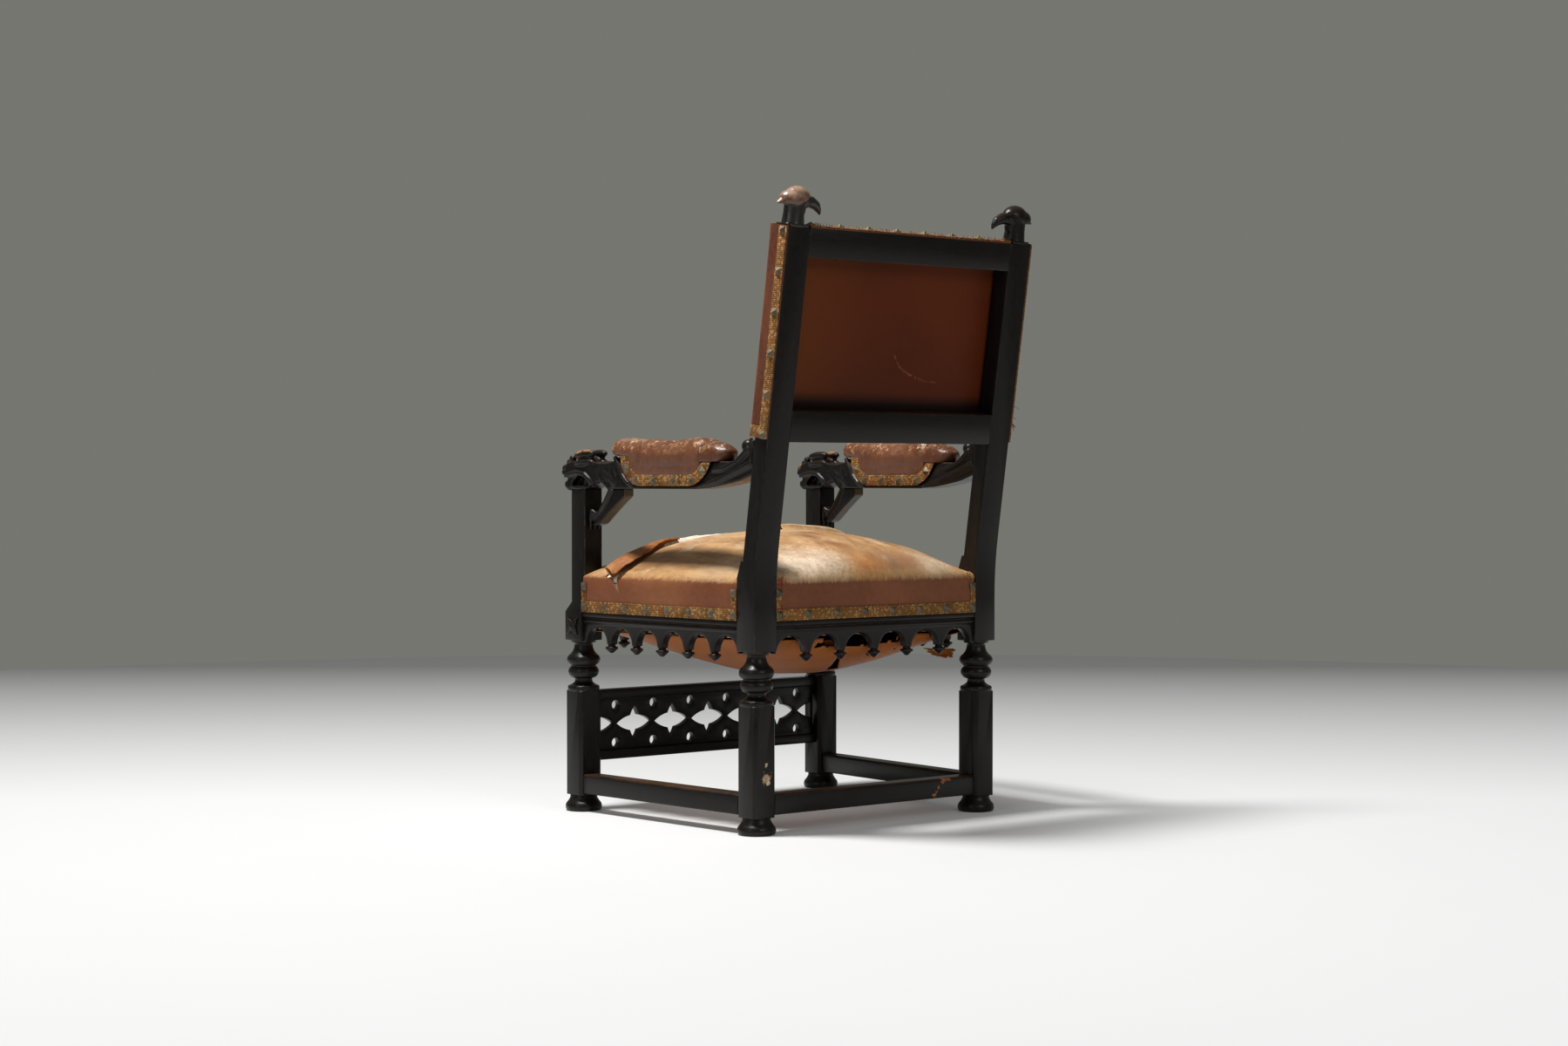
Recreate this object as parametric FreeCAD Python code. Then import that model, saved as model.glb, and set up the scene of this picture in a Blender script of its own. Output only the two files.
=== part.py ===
import FreeCAD
import Part
import math
import os

V = FreeCAD.Vector
UP = V(0, 0, 1)

# Gothic revival throne chair. Driving dimensions in millimetres and degrees.
# X points to the sitter's left, Y to the back and Z up. The left half is drawn, the right mirrored.

# Legs and feet
LEG_SIZE = 50.0             # square of the leg blocks
LEG_CHAMFER = 5.0           # on the upright edges of the lower blocks
FRONT_SPREAD = 590.0        # between the front leg axes
REAR_SPREAD = 534.0         # between the rear leg axes
LEG_DEPTH = 484.0           # from the front leg axes to the rear ones
FOOT_HEIGHT = 30.0
FOOT_RADIUS = 34.5
FOOT_NECK_RADIUS = 25.5
FOOT_ROUND = 2.5            # how far the bun draws in above and below its widest ring
SPIGOT_RADIUS = 7.0
SPIGOT_LENGTH = 25.0
BLOCK_HEIGHT = 197.0        # lower square block

# Turned baluster, from the lower block upward
COLLAR_RADIUS = 29.0
COLLAR_HEIGHT = 9.0
COLLAR_SWELL = 1.0          # roundness of the collar
COVE_HEIGHT = 8.0
NECK_RADIUS = 16.5
NECK_HEIGHT = 6.0
RING_RADIUS = 30.0
RING_ROUND = 1.0            # from the ring's widest to where its curve is drawn
RING_HEIGHT = 22.0
GROOVE_DEPTH = 6.0
GROOVE_HEIGHT = 2.0
BULB_RADIUS = 31.4
BULB_HEIGHT = 42.0
THROAT_RADIUS = 17.5        # under the cap
CAP_RADIUS = 24.0
CAP_HEIGHT = 6.0

# Upper part of the front and rear legs
CARVED_BLOCK_HEIGHT = 54.0  # block beside the aprons
SHOULDER_HEIGHT = 18.0      # slope from the carved block to the arm post
ARM_POST_WIDTH = 40.0
ARM_POST_DEPTH = 43.0
POST_TENON_RADIUS = 8.0
POST_TENON_LENGTH = 22.0
RAKE = 8.9                  # lean of the back
STILE_DEPTH = 41.0
STILE_LENGTH = 605.0        # from the bend to the top
STILE_CHAMFER = 6.0
STOP_RISE = 8.0             # from the seat border to the foot of the stile's front slope
STOP_HEIGHT = 24.0          # height of that slope
BEND_RISE = 18.0            # from the seat border to the bend of the stile
BEND_REACH = 58.0           # half the length of the bend

# Rails, stretchers and their joints
JOINT_CLEARANCE = 0.2
OVERCUT = 1.0               # how far a cutter runs past a face
TENON_THICKNESS = 15.0
TENON_SHOULDER = 6.0        # rail left above and below a tenon
TENON_APART = 1.0           # wood between two tenons that meet in a leg
RAIL_THICKNESS = 42.0
RAIL_HEIGHT = 56.0          # above the aprons
RAIL_DROP = 31.0            # behind the aprons
STRETCHER_INSET = 4.0
STRETCHER_THICKNESS = 38.0
STRETCHER_HEIGHT = 36.0
STRETCHER_LIFT = 4.0        # above the foot of the leg block
STRETCHER_WEAR = 3.0        # worn upper edges
CORNER_BLOCK_SIZE = 45.0
CORNER_BLOCK_GAP = 4.0      # below the top of the rails
CORNER_BLOCK_HEIGHT = 40.0

# Pierced front panel
PANEL_DROP = 1.0            # from the top of the leg block to the upper panel rail
PANEL_HEIGHT = 133.0
PANEL_RAIL_HEIGHT = 17.0
PANEL_RAIL_THICKNESS = 26.0
PANEL_TENON = 10.0
PANEL_TENON_SHOULDER = 3.0
PANEL_THICKNESS = 14.0
TONGUE = 6.0                # depth and thickness of the panel's tongue
TRACERY_COUNT = 6
TRACERY_BRIDGE = 5.0        # wood between two openings
LENS_HEIGHT = 30.0          # lying lens
SPEAR_WIDTH = 26.0          # upright lens
SPEAR_HEIGHT = 64.0
PANEL_HOLE_RADIUS = 9.0
PANEL_HOLE_OFFSET = 36.0

# Aprons and their drops
APRON_THICKNESS = 18.0
APRON_INSET = 6.0
APRON_DEPTH = 58.0
MOULDING_HEIGHT = 22.0
MOULDING_INSET = 1.0
BEAD_PROUD = 1.0            # roundness of the moulding's bead
ARCH_CROWN = 28.0           # from the top of the apron to the crown of the arches
ARCH_CHAMFER = 2.5
SIDE_ARCHES = 6
REAR_ARCHES = 6
FRONT_ARCHES = 7
DROP_NECK = 11.0            # wood between two arches
DROP_RADIUS = 12.0
DROP_STEM_RADIUS = 7.0
DROP_TIP_RADIUS = 3.0
DROP_HEIGHT = 16.0
ROSETTE_SIZE = 42.0
ROSETTE_RELIEF = 4.0
PETAL_WIDTH = 13.0
BOSS_RADIUS = 6.0

# Seat upholstery
BORDER_HEIGHT = 68.0
BORDER_DRAW = 3.0           # how far the border draws in above the rails
LEATHER = 2.5
LEATHER_INSET = 2.0
SOFT_CLEARANCE = 0.3
SEAT_DOME = 84.0
FULLNESS = 0.5              # under 1, a soft form stays full towards its edges
EDGE_CROWN = 2.0
CLOTH = 1.5                 # webbing and hessian
STRAP_WIDTH = 50.0
STRAP_LAP = 25.0            # strap tacked under the rails
STRAP_PITCH_X = 150.0
STRAP_PITCH_Y = 130.0
SPRING_RADIUS = 38.0
SPRING_TURNS = 4
WIRE_RADIUS = 2.0
COVER_FLANGE = 20.0         # nailed edge of the bottom cover
COVER_SAG = 78.0
COVER_THICKNESS = 2.5

# Braid and nails
BRAID_WIDTH = 21.0
BRAID_THICKNESS = 2.2
END_BRAID = 12.0            # upright braid beside the posts
NAIL_SIZE = 14.0
NAIL_HEIGHT = 6.0
SEAT_NAIL_PITCH = 64.0
BACK_NAIL_PITCH = 68.0
ARM_NAIL_PITCH = 54.0
FRONT_NAIL_SWING = 60.0     # of the single nails on the curves of the scoop
REAR_NAIL_SWING = 45.0

# Back frame and upholstery
BACK_RAIL_HEIGHT = 51.0
BACK_LOWER_HEIGHT = 55.0
BACK_LOWER_RISE = 231.0     # along the stile from the bend to the lower rail
BACK_BOTTOM_RISE = 4.0      # from the foot of the lower rail to the back leather
BACK_EDGE = 1.0             # stuffing at the edges of the back
BACK_CROWN = 26.0
BACK_STRAPS = 3

# Arms
ARM_RISE = 164.0            # from the seat border to the underside of the arms
ARM_WIDTH = 46.0
ARM_NECK = 61.0             # height of the beast's neck
ARM_END_HEIGHT = 86.0       # at the stile
ARM_END_FOOT = 25.0         # rise of the underside at the stile
ARM_SWEEP = 150.0           # length of the rising rear part
ARM_SHELF = 49.0            # wood behind the pad
ARM_TENON_WIDTH = 14.0
ARM_TENON_HEIGHT = 36.0
ARM_TENON_LENGTH = 20.0
SCROLL_RADIUS = 10.0
SCROLL_INSET = 20.0
SCROLL_PROUD = 3.0
SCOOP_FRONT = 188.0         # from the arm post to the end of the front curve of the scoop
SCOOP_REAR = 172.0          # from the stile to the start of its rear curve
SCOOP_FLOOR = 5.0
SCOOP_REAR_RADIUS = 70.0
TRAY_LAP = 12.0             # wood behind the braid
NOSE_REACH = 43.0
MOUTH_DEPTH = 8.0           # open mouth, cut in from both cheeks
MOUTH_HEIGHT = 34.0
HEAD_HEIGHT = 76.0
EYE_RADIUS = 9.0
PAD_HEIGHT = 92.0
PAD_FRONT = 94.0            # from the arm post to the pad's tip
PAD_REAR = 84.0             # from the stile to the pad's tail
PAD_BULGE = 3.0
PAD_ROUND = 10.0            # fall of the pad's top to its sides
BRACKET_WIDTH = 30.0
BRACKET_DROP = 69.0
BRACKET_REACH = 127.0       # from the arm post's axis to the rear of the bracket
BRACKET_ROOT = 86.0         # to its front, under the arm
THROAT_RISE = 12.0          # hollow of the arm between the bracket and the post
PAW_HEIGHT = 34.0           # from the arm down to the top of the paw
PAW_DEPTH = 14.0
TOE_RADIUS = 7.0

# Finials
FINIAL_NECK_RADIUS = 20.0
FINIAL_WAIST_RADIUS = 18.0
FINIAL_WAIST_HEIGHT = 20.0
FINIAL_HEIGHT = 68.0
FINIAL_HEAD_RADIUS = 19.0
FINIAL_NAPE = 34.0
FINIAL_BEAK = 54.0
BEAK_DROP = 20.0            # hook of the beak
DOWEL_RADIUS = 8.0
DOWEL_LENGTH = 24.0

# Places that follow from the dimensions
half_leg = LEG_SIZE / 2
front_x = FRONT_SPREAD / 2
rear_x = REAR_SPREAD / 2
leg_y = LEG_DEPTH / 2
splay = math.degrees(math.atan2(front_x - rear_x, LEG_DEPTH))
turning_height = (COLLAR_HEIGHT + COVE_HEIGHT + NECK_HEIGHT + RING_HEIGHT + GROOVE_HEIGHT
                  + BULB_HEIGHT + CAP_HEIGHT)
block_top = FOOT_HEIGHT + BLOCK_HEIGHT
carved_foot = block_top + turning_height
apron_top = carved_foot + CARVED_BLOCK_HEIGHT
rail_top = apron_top + RAIL_HEIGHT
border_top = apron_top + BORDER_HEIGHT
arm_z = border_top + ARM_RISE
bend_z = border_top + BEND_RISE
stile_rear = leg_y + half_leg
stile_front = stile_rear - STILE_DEPTH
stile_top = bend_z + STILE_LENGTH
spigot_hole = SPIGOT_RADIUS + JOINT_CLEARANCE
dowel_hole_radius = DOWEL_RADIUS + JOINT_CLEARANCE
tenon_length = half_leg - max(TENON_THICKNESS / 2, spigot_hole) - TENON_APART
back_tenon_length = half_leg - dowel_hole_radius - TENON_APART
apron_back = APRON_INSET + APRON_THICKNESS
rail_inset = LEATHER_INSET + LEATHER
rail_back = rail_inset + RAIL_THICKNESS
parts = {}


def box(low, high):
    """Upright box between two corners."""
    return Part.makeBox(high[0] - low[0], high[1] - low[1], high[2] - low[2], V(*low))


def outline(place, start, *steps):
    """Closed wire: a step is an end point for a line, or (through, end) for an arc."""
    edges = []
    here = place(*start)
    for step in steps + (start,):
        if isinstance(step[0], tuple):
            end = place(*step[1])
            edges.append(Part.Arc(here, place(*step[0]), end).toShape())
        else:
            end = place(*step)
            if end.distanceToPoint(here) > 1e-6:
                edges.append(Part.LineSegment(here, end).toShape())
        here = end
    return Part.Wire(edges)


def turned(start, *steps):
    """Solid of revolution about Z from a (radius, height) outline."""
    return Part.Face(outline(lambda r, z: V(r, 0, z), start, *steps)).revolve(V(0, 0, 0), UP, 360)


def slab(width, start, *steps):
    """Plate this thick across X, centred on the YZ plane, with a (y, z) outline."""
    face = Part.Face(outline(lambda y, z: V(-width / 2, y, z), start, *steps))
    return face.extrude(V(width, 0, 0))


def ball(radius, *centre):
    return Part.makeSphere(radius, V(*centre))


def joined(first, *others):
    """Several touching solids as one."""
    return first.fuse(list(others)).removeSplitter()


def largest(shape):
    return max(shape.Solids, key=lambda solid: solid.Volume)


def mirrored(shape):
    return shape.mirror(V(0, 0, 0), V(1, 0, 0))


def group(solids):
    return Part.makeCompound(list(solids))


def both(name, shape):
    """Stores a left piece and its mirror image."""
    parts[name + "_left"] = shape
    parts[name + "_right"] = mirrored(shape)


def stud(at, across, along, out):
    """Pyramid nail head on its base centre, with two half edges and its height as vectors."""
    corners = [at + across + along, at - across + along, at - across - along, at + across - along]
    faces = [Part.Face(Part.makePolygon(corners + corners[:1]))]
    for first, second in zip(corners, corners[1:] + corners[:1]):
        faces.append(Part.Face(Part.makePolygon([first, second, at + out, first])))
    solid = Part.Solid(Part.Shell(faces))
    return solid if solid.Volume > 0 else solid.reversed()


def spaced(low, high, pitch):
    """Places at about this pitch, half a pitch in from both ends."""
    count = max(1, round((high - low) / pitch))
    return [low + (high - low) * (k + 0.5) / count for k in range(count)]


def end_to_end(low, high, pitch):
    """Places at about this pitch, the first and the last at the ends."""
    count = max(1, round((high - low) / pitch))
    return [low + (high - low) * k / count for k in range(count + 1)]


# The sides of the seat: where each lies, its half length between the legs, and its arches.
def side(angle, x, y, along_x, clear, arches):
    place = FreeCAD.Placement(V(x, y, 0), FreeCAD.Rotation(UP, angle))
    return {"place": place, "along_x": along_x, "clear": clear, "arches": arches}


sides = {
    "front": side(180, 0, -leg_y - half_leg, True, front_x - half_leg, FRONT_ARCHES),
    "rear": side(0, 0, leg_y + half_leg, True, rear_x - half_leg, REAR_ARCHES),
    "left": side(splay - 90, (front_x + rear_x) / 2 + half_leg, 0, False, leg_y - half_leg,
                 SIDE_ARCHES),
}


def between(which, reach):
    """Space between the two legs of a side, and this far into each of them."""
    half = which["clear"] + reach
    far = FRONT_SPREAD + LEG_DEPTH
    if which["along_x"]:
        return box((-half, -far, -far), (half, far, far + stile_top))
    return box((-far, -half, -far), (far, half, far + stile_top))


def along(which, reach, start, *steps):
    """Bar of an (outward, height) section along a side, trimmed to the legs."""
    half = which["clear"] + 2 * LEG_SIZE
    face = Part.Face(outline(lambda p, z: V(-half, p, z), start, *steps))
    bar = face.extrude(V(2 * half, 0, 0))
    bar.Placement = which["place"]
    return bar.common(between(which, reach))


def flat_bar(which, reach, inner, outer, low, high):
    return along(which, reach, (inner, low), (outer, low), (outer, high), (inner, high))


def tenon(which, thickness, low, high, grow=0.0):
    """Tenon through a side's bar, centred on the legs. It grows by the clearance for a mortise."""
    half = thickness / 2 + grow
    return flat_bar(which, tenon_length + grow, -half_leg - half, -half_leg + half,
                    low - grow, high + grow)


mortises = []


def tenoned(which, body, thickness, low, high):
    """A bar with its tenons. The mortises are kept for the legs."""
    mortises.append(tenon(which, thickness, low, high, JOINT_CLEARANCE))
    return joined(body, tenon(which, thickness, low, high))


def store(name, which_name, shape):
    """Stores a side's piece, and its mirror image for the left side."""
    parts[name + "_" + which_name] = shape
    if which_name == "left":
        parts[name + "_right"] = mirrored(shape)


# Seat rails, with a rebate that takes the apron. The side rails are one webbing layer deeper.
def seat_rail(which, foot):
    body = along(which, 0, (-rail_back, foot), (-apron_back, foot), (-apron_back, apron_top),
                 (-rail_inset, apron_top), (-rail_inset, rail_top), (-rail_back, rail_top))
    return tenoned(which, body, TENON_THICKNESS, apron_top, rail_top - TENON_SHOULDER)


rail_foot = apron_top - RAIL_DROP
side_rail_foot = rail_foot - CLOTH
for name, which in sides.items():
    store("seat_rail", name, seat_rail(which, rail_foot if which["along_x"] else side_rail_foot))


# Aprons: a moulded top edge over an arcade of round arches, glued into the rebate of the rails.
apron_foot = apron_top - APRON_DEPTH


def arch_pitch(which):
    return 2 * which["clear"] / which["arches"]


def arch_cutters(which):
    """Round arches with straight feet, widened at the outer face by a chamfer."""
    radius = (arch_pitch(which) - DROP_NECK) / 2
    centre = apron_top - ARCH_CROWN - radius
    foot = apron_foot - DROP_HEIGHT
    outward = V(0, 1, 0)
    for s in spaced(-which["clear"], which["clear"], arch_pitch(which)):
        inner = V(s, -apron_back - OVERCUT, centre)
        tunnel = Part.makeCylinder(radius, apron_back + 2 * OVERCUT, inner, outward)
        doorway = box((s - radius, -apron_back - OVERCUT, foot), (s + radius, OVERCUT, centre))
        lip = V(s, -APRON_INSET - ARCH_CHAMFER, centre)
        funnel = Part.makeCone(radius, radius + ARCH_CHAMFER, ARCH_CHAMFER, lip, outward)
        cutter = joined(tunnel, doorway, funnel)
        cutter.Placement = which["place"]
        yield cutter


def apron(which):
    step = MOULDING_HEIGHT / 4
    board = -APRON_INSET
    lip = -MOULDING_INSET
    bead = (board + lip) / 2
    bar = along(which, 0, (-apron_back, apron_foot), (board, apron_foot),
                (board, apron_top - 4 * step), (bead, apron_top - 3.5 * step),
                ((bead + BEAD_PROUD, apron_top - 3 * step), (bead, apron_top - 2.5 * step)),
                (board, apron_top - 2.2 * step),
                ((bead, apron_top - 1.7 * step), (lip, apron_top - 1.5 * step)),
                (lip, apron_top), (-apron_back, apron_top))
    return bar.cut(list(arch_cutters(which)))


def octagon(radius, z):
    points = [V(radius * math.cos(math.pi * k / 4), radius * math.sin(math.pi * k / 4), z)
              for k in range(9)]
    return Part.makePolygon(points)


def apron_drops(which):
    """Faceted drops under the feet of the arches."""
    shape = [(DROP_STEM_RADIUS, 0.0), (DROP_STEM_RADIUS, 0.2), (DROP_RADIUS, 0.3),
             (DROP_RADIUS, 0.5), (DROP_TIP_RADIUS, 1.0)]
    wires = [octagon(radius, -DROP_HEIGHT * share) for radius, share in shape]
    drop = Part.makeLoft(wires, True, True)
    for k in range(1, which["arches"]):
        copy = drop.copy()
        copy.translate(V(k * arch_pitch(which) - which["clear"],
                         -APRON_INSET - APRON_THICKNESS / 2, apron_foot))
        copy.Placement = which["place"].multiply(copy.Placement)
        yield copy


for name, which in sides.items():
    store("apron", name, apron(which))
    store("apron_drops", name, group(apron_drops(which)))


# Stretchers near the floor, on the sides and at the rear.
stretcher_foot = FOOT_HEIGHT + STRETCHER_LIFT
stretcher_top = stretcher_foot + STRETCHER_HEIGHT


def stretcher(which):
    outer = -STRETCHER_INSET
    inner = outer - STRETCHER_THICKNESS
    body = along(which, 0, (inner, stretcher_foot), (outer, stretcher_foot),
                 (outer, stretcher_top - STRETCHER_WEAR), (outer - STRETCHER_WEAR, stretcher_top),
                 (inner + STRETCHER_WEAR, stretcher_top), (inner, stretcher_top - STRETCHER_WEAR))
    return tenoned(which, body, TENON_THICKNESS, stretcher_foot + TENON_SHOULDER,
                   stretcher_top - TENON_SHOULDER)


for name in ("rear", "left"):
    store("stretcher", name, stretcher(sides[name]))


# Pierced panel between the front legs: two rails, and a tracery board held by its tongue.
panel_top = block_top - PANEL_DROP
panel_foot = panel_top - PANEL_HEIGHT
field_foot = panel_foot + PANEL_RAIL_HEIGHT
field_top = panel_top - PANEL_RAIL_HEIGHT
front = sides["front"]


def panel_board(thickness, reach):
    return flat_bar(front, reach, -half_leg - thickness / 2, -half_leg + thickness / 2,
                    field_foot - reach, field_top + reach)


def panel_rail(low, high):
    half = PANEL_RAIL_THICKNESS / 2
    body = flat_bar(front, 0, -half_leg - half, -half_leg + half, low, high)
    bar = tenoned(front, body, PANEL_TENON, low + PANEL_TENON_SHOULDER, high - PANEL_TENON_SHOULDER)
    return bar.cut(panel_board(TONGUE + 2 * JOINT_CLEARANCE, TONGUE + JOINT_CLEARANCE))


def lens(reach, swell, place):
    """Pointed opening between two arcs, through the panel. Its points lie along place's first axis."""
    face = Part.Face(outline(place, (-reach, 0), ((0, swell), (reach, 0)), ((0, -swell), (-reach, 0))))
    return face.extrude(V(0, 2 * LEG_SIZE, 0))


def tracery_cutters():
    """Crossed lenses with a small round hole above and below each bridge."""
    pitch = 2 * front["clear"] / TRACERY_COUNT
    middle = (field_foot + field_top) / 2
    for k in range(TRACERY_COUNT + 1):
        x = k * pitch - front["clear"]
        before = -leg_y - LEG_SIZE
        yield lens((pitch - TRACERY_BRIDGE) / 2, LENS_HEIGHT / 2, lambda a, b: V(x + a, before, middle + b))
        yield lens(SPEAR_HEIGHT / 2, SPEAR_WIDTH / 2, lambda a, b: V(x + b, before, middle + a))
    for x in spaced(-front["clear"], front["clear"], pitch):
        for z in (middle - PANEL_HOLE_OFFSET, middle + PANEL_HOLE_OFFSET):
            yield Part.makeCylinder(PANEL_HOLE_RADIUS, 2 * LEG_SIZE, V(x, -leg_y - LEG_SIZE, z),
                                    V(0, 1, 0))


parts["front_panel_top_rail"] = panel_rail(field_top, panel_top)
parts["front_panel_bottom_rail"] = panel_rail(panel_foot, field_foot)
tongue = panel_board(TONGUE, TONGUE)
parts["front_tracery_panel"] = joined(panel_board(PANEL_THICKNESS, 0), tongue).cut(
    list(tracery_cutters()))
mortises.append(panel_board(TONGUE + 2 * JOINT_CLEARANCE, TONGUE + JOINT_CLEARANCE).cut(
    box((-front["clear"], -LEG_DEPTH, 0), (front["clear"], 0, stile_top))))


# Turned bun foot with a spigot that fits its leg.
def foot():
    bun = turned((0, 0), (FOOT_RADIUS - FOOT_ROUND, 0),
                 ((FOOT_RADIUS, FOOT_HEIGHT * 0.27), (FOOT_RADIUS - FOOT_ROUND, FOOT_HEIGHT * 0.5)),
                 ((FOOT_NECK_RADIUS + FOOT_ROUND, FOOT_HEIGHT * 0.67),
                  (FOOT_NECK_RADIUS, FOOT_HEIGHT * 0.84)),
                 (FOOT_NECK_RADIUS, FOOT_HEIGHT), (0, FOOT_HEIGHT))
    return joined(bun, Part.makeCylinder(SPIGOT_RADIUS, FOOT_HEIGHT + SPIGOT_LENGTH))


def lower_leg():
    """Chamfered block with a spigot hole, and the turned baluster above it."""
    block = box((-half_leg, -half_leg, FOOT_HEIGHT), (half_leg, half_leg, block_top))
    uprights = [edge for edge in block.Edges if abs(edge.tangentAt(edge.FirstParameter).z) > 0.5]
    block = block.makeChamfer(LEG_CHAMFER, uprights)
    hole = Part.makeCylinder(spigot_hole, SPIGOT_LENGTH + JOINT_CLEARANCE, V(0, 0, FOOT_HEIGHT))
    cove = block_top + COLLAR_HEIGHT
    neck = cove + COVE_HEIGHT
    ring = neck + NECK_HEIGHT
    groove = ring + RING_HEIGHT
    bulb = groove + GROOVE_HEIGHT
    waist = RING_RADIUS - GROOVE_DEPTH
    cap = bulb + BULB_HEIGHT
    bulge = BULB_RADIUS - THROAT_RADIUS
    baluster = turned(
        (0, block_top), (COLLAR_RADIUS, block_top),
        ((COLLAR_RADIUS + COLLAR_SWELL, block_top + COLLAR_HEIGHT / 2), (COLLAR_RADIUS, cove)),
        ((NECK_RADIUS + 0.25 * (COLLAR_RADIUS - NECK_RADIUS), cove + COVE_HEIGHT * 0.6),
         (NECK_RADIUS, neck)),
        (NECK_RADIUS, ring),
        ((RING_RADIUS - RING_ROUND, ring + RING_HEIGHT * 0.6), (waist, groove)),
        (waist, bulb),
        ((BULB_RADIUS, bulb + BULB_HEIGHT * 0.22),
         (THROAT_RADIUS + 0.75 * bulge, bulb + BULB_HEIGHT * 0.46)),
        ((THROAT_RADIUS + 0.15 * bulge, bulb + BULB_HEIGHT * 0.7), (THROAT_RADIUS, cap)),
        (CAP_RADIUS, cap + CAP_HEIGHT * 0.3), (CAP_RADIUS, carved_foot), (0, carved_foot))
    return joined(block.cut(hole), baluster)


# Front leg: carved block, sloped shoulder and a slim post that carries the arm.
post_x = front_x - half_leg + ARM_POST_WIDTH / 2
post_y = -leg_y + half_leg - ARM_POST_DEPTH / 2


def rectangle(x0, y0, x1, y1, z):
    return Part.makePolygon([V(x0, y0, z), V(x1, y0, z), V(x1, y1, z), V(x0, y1, z), V(x0, y0, z)])


def front_leg():
    post_out = ARM_POST_WIDTH - half_leg
    post_fore = half_leg - ARM_POST_DEPTH
    shoulder = apron_top + SHOULDER_HEIGHT
    block = box((-half_leg, -half_leg, carved_foot), (half_leg, half_leg, apron_top))
    slope = Part.makeLoft([rectangle(-half_leg, -half_leg, half_leg, half_leg, apron_top),
                           rectangle(-half_leg, post_fore, post_out, half_leg, shoulder)], True, True)
    post = box((-half_leg, post_fore, shoulder), (post_out, half_leg, arm_z))
    peg = Part.makeCylinder(POST_TENON_RADIUS, POST_TENON_LENGTH,
                            V(post_x - front_x, post_y + leg_y, arm_z))
    leg = joined(lower_leg(), block, slope, post, peg)
    leg.translate(V(front_x, -leg_y, 0))
    return leg


# Rear leg: its upper part is a raked stile, bent above the seat and chamfered at the front.
def lean(y, z):
    """Point of the upright back, leant about the bend."""
    angle = math.radians(RAKE)
    back, rise = y - stile_rear, z - bend_z
    return (stile_rear + back * math.cos(angle) + rise * math.sin(angle),
            bend_z - back * math.sin(angle) + rise * math.cos(angle))


def raked(shape):
    return shape.rotated(V(0, stile_rear, bend_z), V(1, 0, 0), -RAKE)


back_foot = bend_z + BACK_LOWER_RISE
back_bottom = back_foot + BACK_BOTTOM_RISE
stop_z = border_top + STOP_RISE
slope_top = stop_z + STOP_HEIGHT


def bend_middle():
    """Middle of the bend, on the line from its corner to its centre."""
    half_turn = math.radians(RAKE) / 2
    depth = BEND_REACH * math.tan(half_turn / 2)
    return (stile_rear + depth * math.cos(half_turn), bend_z - depth * math.sin(half_turn))


def stile_chamfers():
    for sign in (-1, 1):
        edge = sign * half_leg
        face = Part.Face(Part.makePolygon([
            V(edge, stile_front, slope_top), V(edge - sign * STILE_CHAMFER, stile_front, slope_top),
            V(edge, stile_front + STILE_CHAMFER, slope_top), V(edge, stile_front, slope_top)]))
        yield raked(face.extrude(V(0, 0, back_bottom - slope_top)))


def rear_leg():
    stile = slab(LEG_SIZE, (leg_y - half_leg, carved_foot), (leg_y - half_leg, stop_z),
                 lean(stile_front, slope_top), lean(stile_front, stile_top),
                 lean(stile_rear, stile_top), lean(stile_rear, bend_z + BEND_REACH),
                 (bend_middle(), (stile_rear, bend_z - BEND_REACH)), (stile_rear, carved_foot))
    stile = stile.cut(list(stile_chamfers()))
    turning = lower_leg()
    turning.translate(V(0, leg_y, 0))
    leg = joined(turning, stile)
    leg.translate(V(rear_x, 0, 0))
    return leg


# Back rails, flush with the stiles at the rear and tenoned into them. The outer leather panel and
# the upright webbing lie on their front faces, between the stiles.
panel_front = stile_front + CLOTH
panel_rear = panel_front + LEATHER


def back_rail(low, high, grow=0.0):
    """Tenoned rail of the upright back. Grown by the clearance, it cuts its own mortises."""
    inner = rear_x - half_leg
    middle = (stile_front + stile_rear) / 2
    half = TENON_THICKNESS / 2 + grow
    reach = inner + back_tenon_length + grow
    body = box((-inner, panel_rear, low), (inner, stile_rear, high))
    tongues = box((-reach, middle - half, low + TENON_SHOULDER - grow),
                  (reach, middle + half, high - TENON_SHOULDER + grow))
    return raked(joined(body, tongues))


back_rails = {"back_lower_rail": (back_foot, back_foot + BACK_LOWER_HEIGHT),
              "back_top_rail": (stile_top - BACK_RAIL_HEIGHT, stile_top)}
for name, (low, high) in back_rails.items():
    parts[name] = back_rail(low, high)
    mortises.append(back_rail(low, high, JOINT_CLEARANCE))


# Finial: a bird's head that looks inward, dowelled to the top of its stile.
def disc(x, z, radius, tilt):
    """Circle of the beak, square to a direction tilted down from the horizontal."""
    angle = math.radians(tilt)
    return Part.Wire(Part.makeCircle(radius, V(x, 0, z), V(-math.cos(angle), 0, -math.sin(angle))))


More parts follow.
